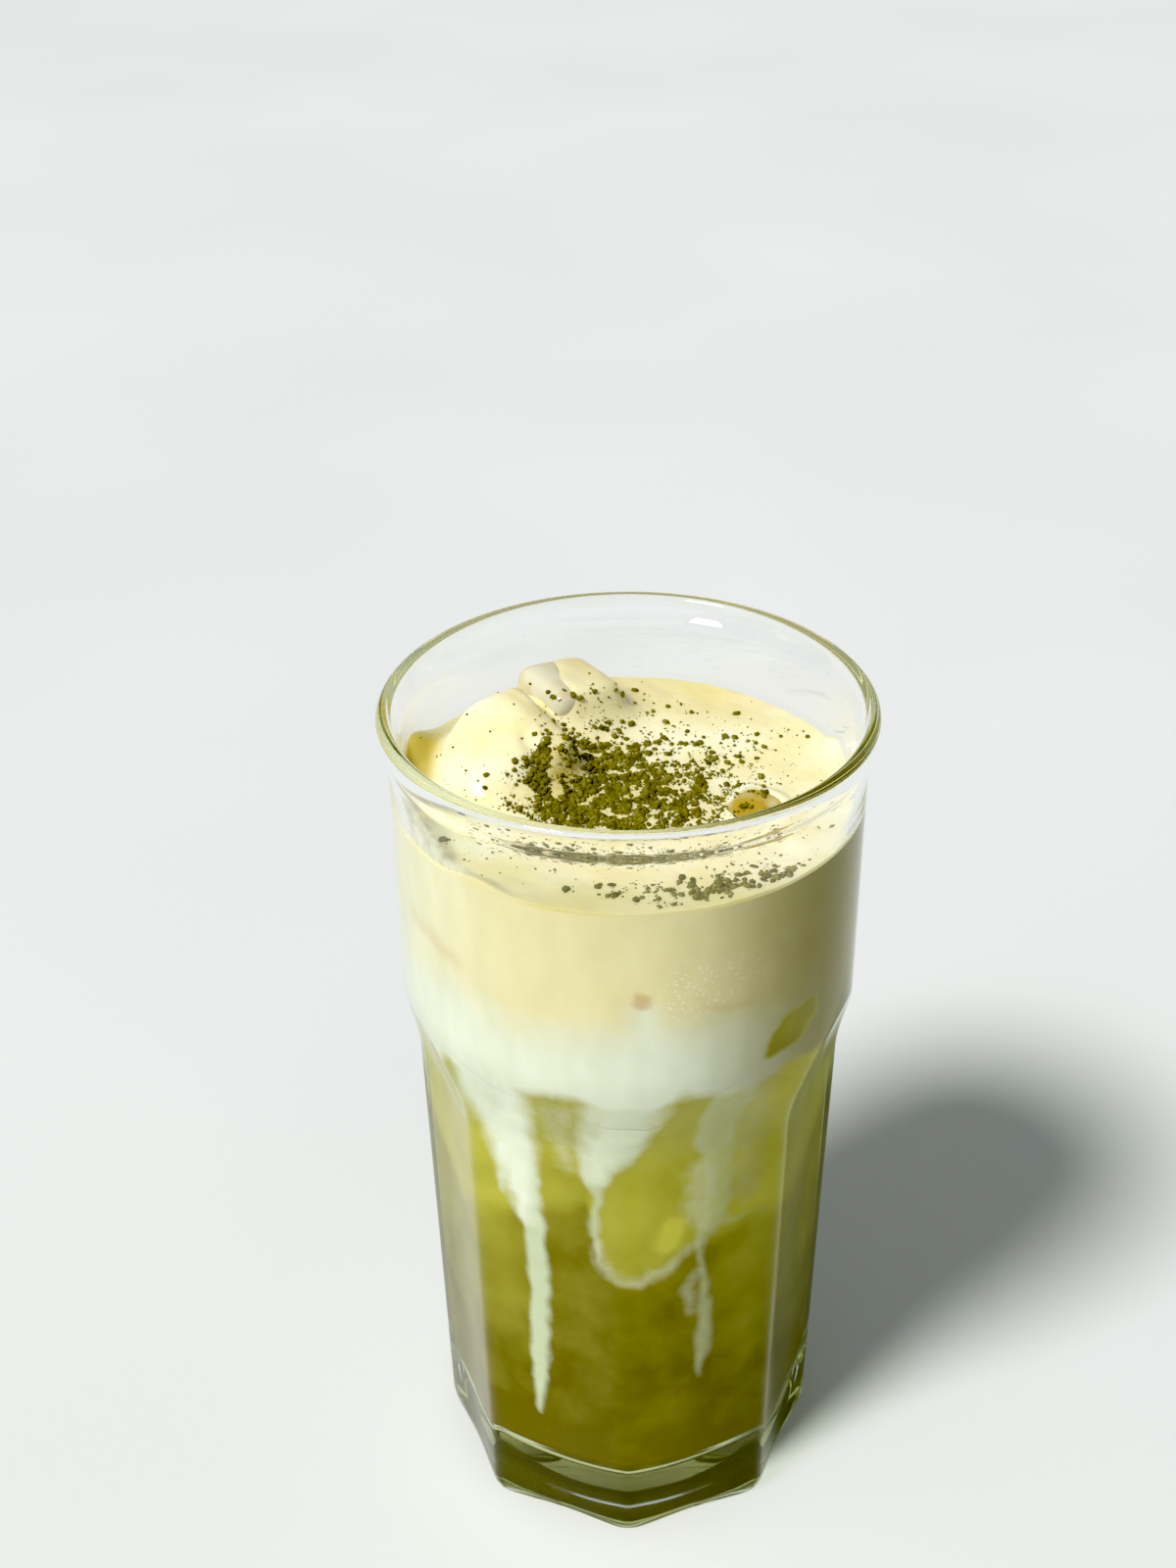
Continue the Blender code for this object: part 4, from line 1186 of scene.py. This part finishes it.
def sweet_cream():
    material, tree, place = new_material("lightly_whipped_cream")
    tone = node(tree, "TexNoise", Vector=place, Scale=1.0 / TONES, Detail=2.0)
    toned = node(tree, "MapRange", Value=tone, **NOISE_MIDDLE)
    plain = node(tree, "Mix", COLOUR_MIX, i0=toned, i6="f3e9b6", i7="f9f3d2")
    painted_shade_and_ochre = node(tree, "Attribute", {"attribute_name": "painted_shade_and_ochre"}).outputs["Fac"]
    # painted shade where the cream clings to the glass on the left, and an ochre tint at its far and near
    # ends and along the ridge
    plain = node(tree, "Mix", COLOUR_MIX, i0=painted_shade_and_ochre, i6=plain, i7="c9b155")
    dust = node(tree, "Attribute", {"attribute_name": "dust"}).outputs["Fac"]
    grain = node(tree, "TexNoise", Vector=place, Scale=1.0 / DUST_GRAIN, Detail=4.0, Roughness=0.7)
    grainy = node(tree, "MapRange", Value=grain, **NOISE_MIDDLE)
    dusty = node(tree, "Math", {"operation": "MULTIPLY", "use_clamp": True}, i0=dust, i1=grainy)
    colour = node(tree, "Mix", COLOUR_MIX, i0=dusty, i6=plain, i7="b59f3c")
    fine = node(tree, "TexNoise", Vector=place, Scale=1.0 / CREAM_GRAIN, Detail=3.0)
    bump = node(tree, "Bump", Strength=0.25, Distance=CREAM_GRAIN_HEIGHT, Height=fine)
    shader = node(tree, "BsdfPrincipled", Base_Color=colour, Roughness=0.3, IOR=1.45, Normal=bump,
                  Subsurface_Weight=0.45, Subsurface_Radius=(1.0, 0.8, 0.35), Subsurface_Scale=1.5 * MM)
    finish(tree, shader)
    return material


# %% What the cream stores for it
DUST_REACH = 1.25                 # the tint reaches this much further than the powder
DUST_TINT = 1.6
SHADE_AROUND, SHADE_WIDTH = -98.0, 24.0    # degrees: where painted shade lies on the cream that clings to the glass
SHADE_OUT = (30.5 * MM, 34.0 * MM)
SHADE_TINT, ENDS_TINT, RIDGE_TINT = 0.9, 0.45, 0.8
ENDS_OUT = (15.0 * MM, 36.0 * MM)      # the far and near ends, from a middle that lies a little in front
ENDS_MIDDLE = -1.0 * MM
RIDGE_TINT_WIDTH = 3.0 * MM
BLOTCH, BLOTCH_SHIFT = 2.6 * MM, 17.0      # the tint along the ridge is blotchy
BLOTCH_COVER = 0.6


def store_dust(mesh):
    """How much fine powder lies round each vertex of the top."""
    places = places_of(mesh)
    dust = np.zeros(len(places))
    for dusting in DUSTINGS:
        x = (places[:, 0] - dusting.middle[0]) / (DUST_REACH * dusting.spread[0])
        y = (places[:, 1] - dusting.middle[1]) / (DUST_REACH * dusting.spread[1])
        dust += DUST_TINT * dusting.share * np.exp(-0.5 * (x * x + y * y))
    on_top = places[:, 2] > CREAM_LEVEL - 2.0 * MM
    store(mesh, "dust", np.where(on_top, np.clip(dust, 0.0, 1.0), 0.0))


def store_shade_and_ochre(mesh):
    """How much darker ochre the cream takes: painted shade where it clings to the glass, and a tint at its
    far and near ends and along the ridge.
    """
    places = places_of(mesh)
    around, out = around_and_out(places)
    shade = np.exp(-(((around - SHADE_AROUND) / SHADE_WIDTH) ** 2)) * ease(share(out, *SHADE_OUT))
    ends = ENDS_TINT * ease(share(np.abs(places[:, 1] - ENDS_MIDDLE), *ENDS_OUT))
    blotches = np.clip(BLOTCH_COVER + waves(places, 1.0, BLOTCH, BLOTCH_SHIFT), 0.0, 1.0)
    ridge = RIDGE_TINT * np.exp(-((distance_to(RIDGE, places) / RIDGE_TINT_WIDTH) ** 2)) * blotches
    store(mesh, "painted_shade_and_ochre", np.clip(np.maximum(SHADE_TINT * shade, ends) + ridge, 0.0, 1.0))


# %% Build the cream
def give_wall_material(mesh):
    """The side and the underside of the cream take the second material, the one behind glass."""
    places = places_of(mesh)
    _, out = around_and_out(places)
    at_wall = (out > inner_radius(places[:, 2])) & (places[:, 2] < CREAM_LEVEL)
    at_wall |= places[:, 2] < MIX_LEVEL + 3.0 * MM
    for face in mesh.polygons:
        face.material_index = int(all(at_wall[i] for i in face.vertices))


store_dust(cream_mesh)
store_shade_and_ochre(cream_mesh)
cream = shown(cream_mesh, sweet_cream(), wall_material)
give_wall_material(cream_mesh)
cream_mesh.set_sharp_from_angle(angle=CREAM_EDGE)
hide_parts("cream_cap", "ice_cube_coated")

# %% [markdown]
# ### Wet ice
#
# Ice from a tray is clear outside and cloudy inside, where the air that was in the water froze into
# fine bubbles. So its colour wanders from clear to clouded in patches. Melting water makes it smooth
# and glossy, with slow dents. Here a film of cream lies on it as well, and the ice that has sunk
# looks ochre through it. So only part of the light goes through.

# %% Material: wet ice
ICE_PATCH = 5.0 * MM              # size of its cloudy patches
ICE_DENT = 6.0 * MM               # and of the dents that melting leaves
ICE_DENT_DEPTH = 0.4 * MM


def wet_ice(name, clear, clouded, transmission):
    material, tree, place = new_material(name)
    patch = node(tree, "TexNoise", Vector=place, Scale=1.0 / ICE_PATCH, Detail=2.0)
    patchy = node(tree, "MapRange", Value=patch, From_Min=0.45, From_Max=0.62)
    colour = node(tree, "Mix", COLOUR_MIX, i0=patchy, i6=clear, i7=clouded)
    dent = node(tree, "TexNoise", Vector=place, Scale=1.0 / ICE_DENT, Detail=3.0)
    bump = node(tree, "Bump", Strength=0.3, Distance=ICE_DENT_DEPTH, Height=dent)
    shader = node(tree, "BsdfPrincipled", Base_Color=colour, Roughness=0.12, IOR=1.31, Normal=bump,
                  Transmission_Weight=transmission, Subsurface_Weight=0.3, Subsurface_Scale=3.0 * MM,
                  Subsurface_Radius=(1.0, 1.0, 0.8))
    finish(tree, shader)
    return material


bare = shown(bare_mesh, wet_ice("melting_ice", "edead2", "e6dcb6", 0.25))
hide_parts("ice_cube_bare")
sunk = shown(sunk_mesh, wet_ice("ice_under_a_thin_film", "bfa452", "ded3a4", 0.1))
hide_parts("ice_cube_sunk")


# %% [markdown]
# ### Every grain a small stone
#
# A joined mesh of thousands of stones is best filled from arrays. The stone itself is an icosphere
# with twenty faces. Each copy gets corners of its own, a squash and a turn. A ray sent straight down
# finds the surface that it rests on, which may be cream or ice. Matcha is leaf, dried and ground, so
# it is matt all over, and where it is thick it looks darker than it does in a cup.

# %% Stones, and their material
GRAIN_SQUASH = 0.75               # height of a stone as a share of its width
GRAIN_BUMPS = (0.65, 1.2)         # how far its corners lie from the middle, at least and at most
GRAIN_STRETCH = (0.75, 1.25)      # and how its length, width and height vary
GRAIN_TONE = 1.6 * MM             # the powder's colour changes over this distance
LEAF_GRAIN = 0.25 * MM            # roughness of the stones: the leaf is ground far finer than this
LEAF_GRAIN_HEIGHT = 0.1 * MM


def stones(name, middles, radii, seed):
    """Copies of one small stone as a single mesh, each with its own size, turn and squash."""
    form = bmesh.new()
    bmesh.ops.create_icosphere(form, subdivisions=1, radius=1.0)
    corners = np.array([vertex.co[:] for vertex in form.verts])
    faces = np.array([[vertex.index for vertex in face.verts] for face in form.faces])
    form.free()
    draw = np.random.default_rng(seed)
    count = len(middles)
    bumpy = corners[None] * draw.uniform(*GRAIN_BUMPS, (count, len(corners), 1))
    bumpy *= draw.uniform(*GRAIN_STRETCH, (count, 1, 3))
    bumpy[:, :, 2] *= GRAIN_SQUASH
    turn = draw.uniform(0.0, 2.0 * math.pi, count)
    x = bumpy[:, :, 0] * np.cos(turn)[:, None] - bumpy[:, :, 1] * np.sin(turn)[:, None]
    y = bumpy[:, :, 0] * np.sin(turn)[:, None] + bumpy[:, :, 1] * np.cos(turn)[:, None]
    places = np.stack([x, y, bumpy[:, :, 2]], axis=2) * np.asarray(radii)[:, None, None]
    places += np.asarray(middles)[:, None, :]
    index = faces[None] + len(corners) * np.arange(count)[:, None, None]
    mesh = bpy.data.meshes.new(name)
    mesh.vertices.add(count * len(corners))
    mesh.loops.add(index.size)
    mesh.polygons.add(count * len(faces))
    mesh.loops.foreach_set("vertex_index", index.ravel())
    mesh.polygons.foreach_set("loop_start", np.arange(0, index.size, 3))
    mesh.vertices.foreach_set("co", places.ravel())
    mesh.update(calc_edges=True)
    return mesh


def sifted_matcha():
    material, tree, place = new_material("sifted_matcha")
    tone = node(tree, "TexNoise", Vector=place, Scale=1.0 / GRAIN_TONE, Detail=3.0)
    toned = node(tree, "MapRange", Value=tone, **NOISE_RANGE)
    colour = node(tree, "Mix", COLOUR_MIX, i0=toned, i6="514c1a", i7="8e854a")
    fine = node(tree, "TexNoise", Vector=place, Scale=1.0 / LEAF_GRAIN, Detail=2.0)
    bump = node(tree, "Bump", Strength=0.8, Distance=LEAF_GRAIN_HEIGHT, Height=fine)
    finish(tree, node(tree, "BsdfPrincipled", Base_Color=colour, Roughness=0.9, Normal=bump))
    return material


# %% Scatter the powder
FINE_CLUMPS, FINE_CLUMP_RADII = 3900, (0.16 * MM, 0.74 * MM)
GRAINS, FLUNG_GRAINS, GRAIN_RADII = 4000, 1300, (0.08 * MM, 0.27 * MM)
GRAIN_REACH, FLUNG_REACH = 1.15, 1.7   # how much wider they lie than the clumps
FLUNG_GAPS = 2.0                  # the gaps show this much less among the flung ones
SMALL_CLUMPS, SMALL_GRAINS = 2.7, 2    # powers above 1, which make small ones the most common
GRAIN_SEAT = 0.3

finished = bpy.context.evaluated_depsgraph_get()
GROUND = [BVHTree.FromObject(piece, finished) for piece in (cream, bare, sunk)]


def seated(spots, radii, seat):
    """Puts stones on whatever lies highest under each spot."""
    places = []
    for (x, y), radius in zip(spots, radii):
        hits = [tree.ray_cast(Vector((x, y, GLASS_HEIGHT)), DOWN)[0] for tree in GROUND]
        height = max(hit.z for hit in hits if hit is not None)
        places.append((x, y, height + seat * radius))
    return np.array(places)


powder_material = sifted_matcha()
clumps = np.array(clump_places())
fine_spots = dusted_spots(FINE_CLUMPS, 21)
draw = np.random.default_rng(31)
fine_radii = mix(*FINE_CLUMP_RADII, draw.random(len(fine_spots)) ** SMALL_CLUMPS)
clump_spots = np.vstack([clumps[:, :2], fine_spots])
clump_radii = np.concatenate([clumps[:, 2], fine_radii])
clump_middles = seated(clump_spots, clump_radii, CLUMP_SEAT)
shown(stones("matcha_clumps", clump_middles, clump_radii, 1), powder_material)

flung_spots = dusted_spots(FLUNG_GRAINS, 23, FLUNG_REACH, FLUNG_GAPS)
grain_spots = np.vstack([dusted_spots(GRAINS, 22, GRAIN_REACH), flung_spots])
grain_radii = mix(*GRAIN_RADII, draw.random(len(grain_spots)) ** SMALL_GRAINS)
grain_middles = seated(grain_spots, grain_radii, GRAIN_SEAT)
shown(stones("matcha_grains", grain_middles, grain_radii, 2), powder_material)

# %% [markdown]
# ## Floor, light and camera
#
# The drink stands on a pale floor. A key light comes from the front left, high up, as from a large
# window, and the bright room fills the shadows. The camera looks down from the front, as someone
# does who sits at the table. Glass gathers light from all round, so the rays that have gone through
# it see a brighter room than the floor does.

# %% Floor
FLOOR_HALF = 4.0                  # half its width, in metres
FLOOR_CLOUD = 250.0 * MM          # size of the faint clouds in its colour
FLOOR_DROP = 0.1 * MM             # a film of air under the foot, which then reflects as it does in life


def pale_floor():
    material, tree, place = new_material("pale_floor")
    cloud = node(tree, "TexNoise", Vector=place, Scale=1.0 / FLOOR_CLOUD, Detail=2.0)
    toned = node(tree, "MapRange", Value=cloud, **NOISE_RANGE)
    colour = node(tree, "Mix", COLOUR_MIX, i0=toned, i6="dcdfe0", i7="e3e5e5")
    finish(tree, node(tree, "BsdfPrincipled", Base_Color=colour, Roughness=0.6))
    return material


floor_form = bmesh.new()
bmesh.ops.create_grid(floor_form, x_segments=1, y_segments=1, size=FLOOR_HALF)
bmesh.ops.translate(floor_form, verts=floor_form.verts, vec=(0.0, 0.0, -FLOOR_DROP))
floor_mesh = as_mesh(floor_form, "floor")
floor_mesh.materials.append(pale_floor())
floor = bpy.data.objects.new("floor", floor_mesh)
bpy.context.scene.collection.objects.link(floor)

# %% Light
KEY_FROM = Vector((-0.455, -0.416, 0.797))    # the direction that the key light comes from
KEY_STRENGTH = 3.4                # W/m2
KEY_SOFTNESS = math.radians(14.0)     # how wide the light looks, which softens the shadow's edge
ROOM_STRENGTH = 0.34
ROOM_IN_GLASS = 0.8               # the pale table and wall, as the glass gathers them from all sides
LIGHT_BOUNCES = 32                # enough to get through the glass, what is in it, and out again

key_light = bpy.data.lights.new("key", "SUN")
key_light.energy = KEY_STRENGTH
key_light.angle = KEY_SOFTNESS
key_light.color = linear("fffdf8")[:3]
key = bpy.data.objects.new("key", key_light)
key.rotation_euler = (-KEY_FROM).to_track_quat("-Z", "Y").to_euler()
bpy.context.scene.collection.objects.link(key)

world = bpy.data.worlds.new("bright_room")
bpy.context.scene.world = world
world.use_nodes = True
sky = world.node_tree
sky.nodes.clear()
ray = node(sky, "LightPath")
in_glass = node(sky, "Math", {"operation": "GREATER_THAN"}, i0=ray.outputs["Transmission Depth"], i1=0.5)
direct = node(sky, "Math", {"operation": "SUBTRACT"}, i0=in_glass, i1=ray.outputs["Is Diffuse Ray"])
strength = node(sky, "MapRange", Value=direct, To_Min=ROOM_STRENGTH, To_Max=ROOM_IN_GLASS)
background = node(sky, "Background", Color="eef4fb", Strength=strength)
node(sky, "OutputWorld", Surface=background)

cycles = bpy.context.scene.cycles
cycles.max_bounces = cycles.transmission_bounces = cycles.glossy_bounces = LIGHT_BOUNCES

# %% Camera
PICTURE_HEIGHT = 1600             # in pixels
FOCAL_LENGTH = 2289.0             # in the same pixels
SENSOR = 36.0                     # mm, along the picture's height
CAMERA_PLACE = (0.0, -0.3190, 0.3336)
PAN, PITCH, ROLL = (math.radians(a) for a in (-1.191, 31.088, -0.618))
CLIP_NEAR, CLIP_FAR = 0.01, 20.0
BLACK_LEVEL = (0.04, 0.04, 0.067)     # light that counts as black: it deepens the darks, blue the most


def aimed_camera():
    """A camera turned by pan to the side, by pitch downwards and by roll about its own axis."""
    forward = Vector((math.sin(PAN) * math.cos(PITCH), math.cos(PAN) * math.cos(PITCH), -math.sin(PITCH)))
    level = Vector((math.cos(PAN), -math.sin(PAN), 0.0))
    upright = level.cross(forward)
    right = math.cos(ROLL) * level + math.sin(ROLL) * upright
    up = -math.sin(ROLL) * level + math.cos(ROLL) * upright
    data = bpy.data.cameras.new("camera")
    data.sensor_width = SENSOR
    data.lens = SENSOR * FOCAL_LENGTH / PICTURE_HEIGHT
    data.clip_start, data.clip_end = CLIP_NEAR, CLIP_FAR
    camera = bpy.data.objects.new("camera", data)
    turned = Matrix((right, up, -forward)).transposed().to_4x4()
    camera.matrix_world = Matrix.Translation(CAMERA_PLACE) @ turned
    bpy.context.scene.collection.objects.link(camera)
    return camera


bpy.context.scene.camera = aimed_camera()
view = bpy.context.scene.view_settings
view.view_transform = "Standard"
view.use_curve_mapping = True
view.curve_mapping.black_level = BLACK_LEVEL

# %% Finish
bpy.context.view_layer.update()
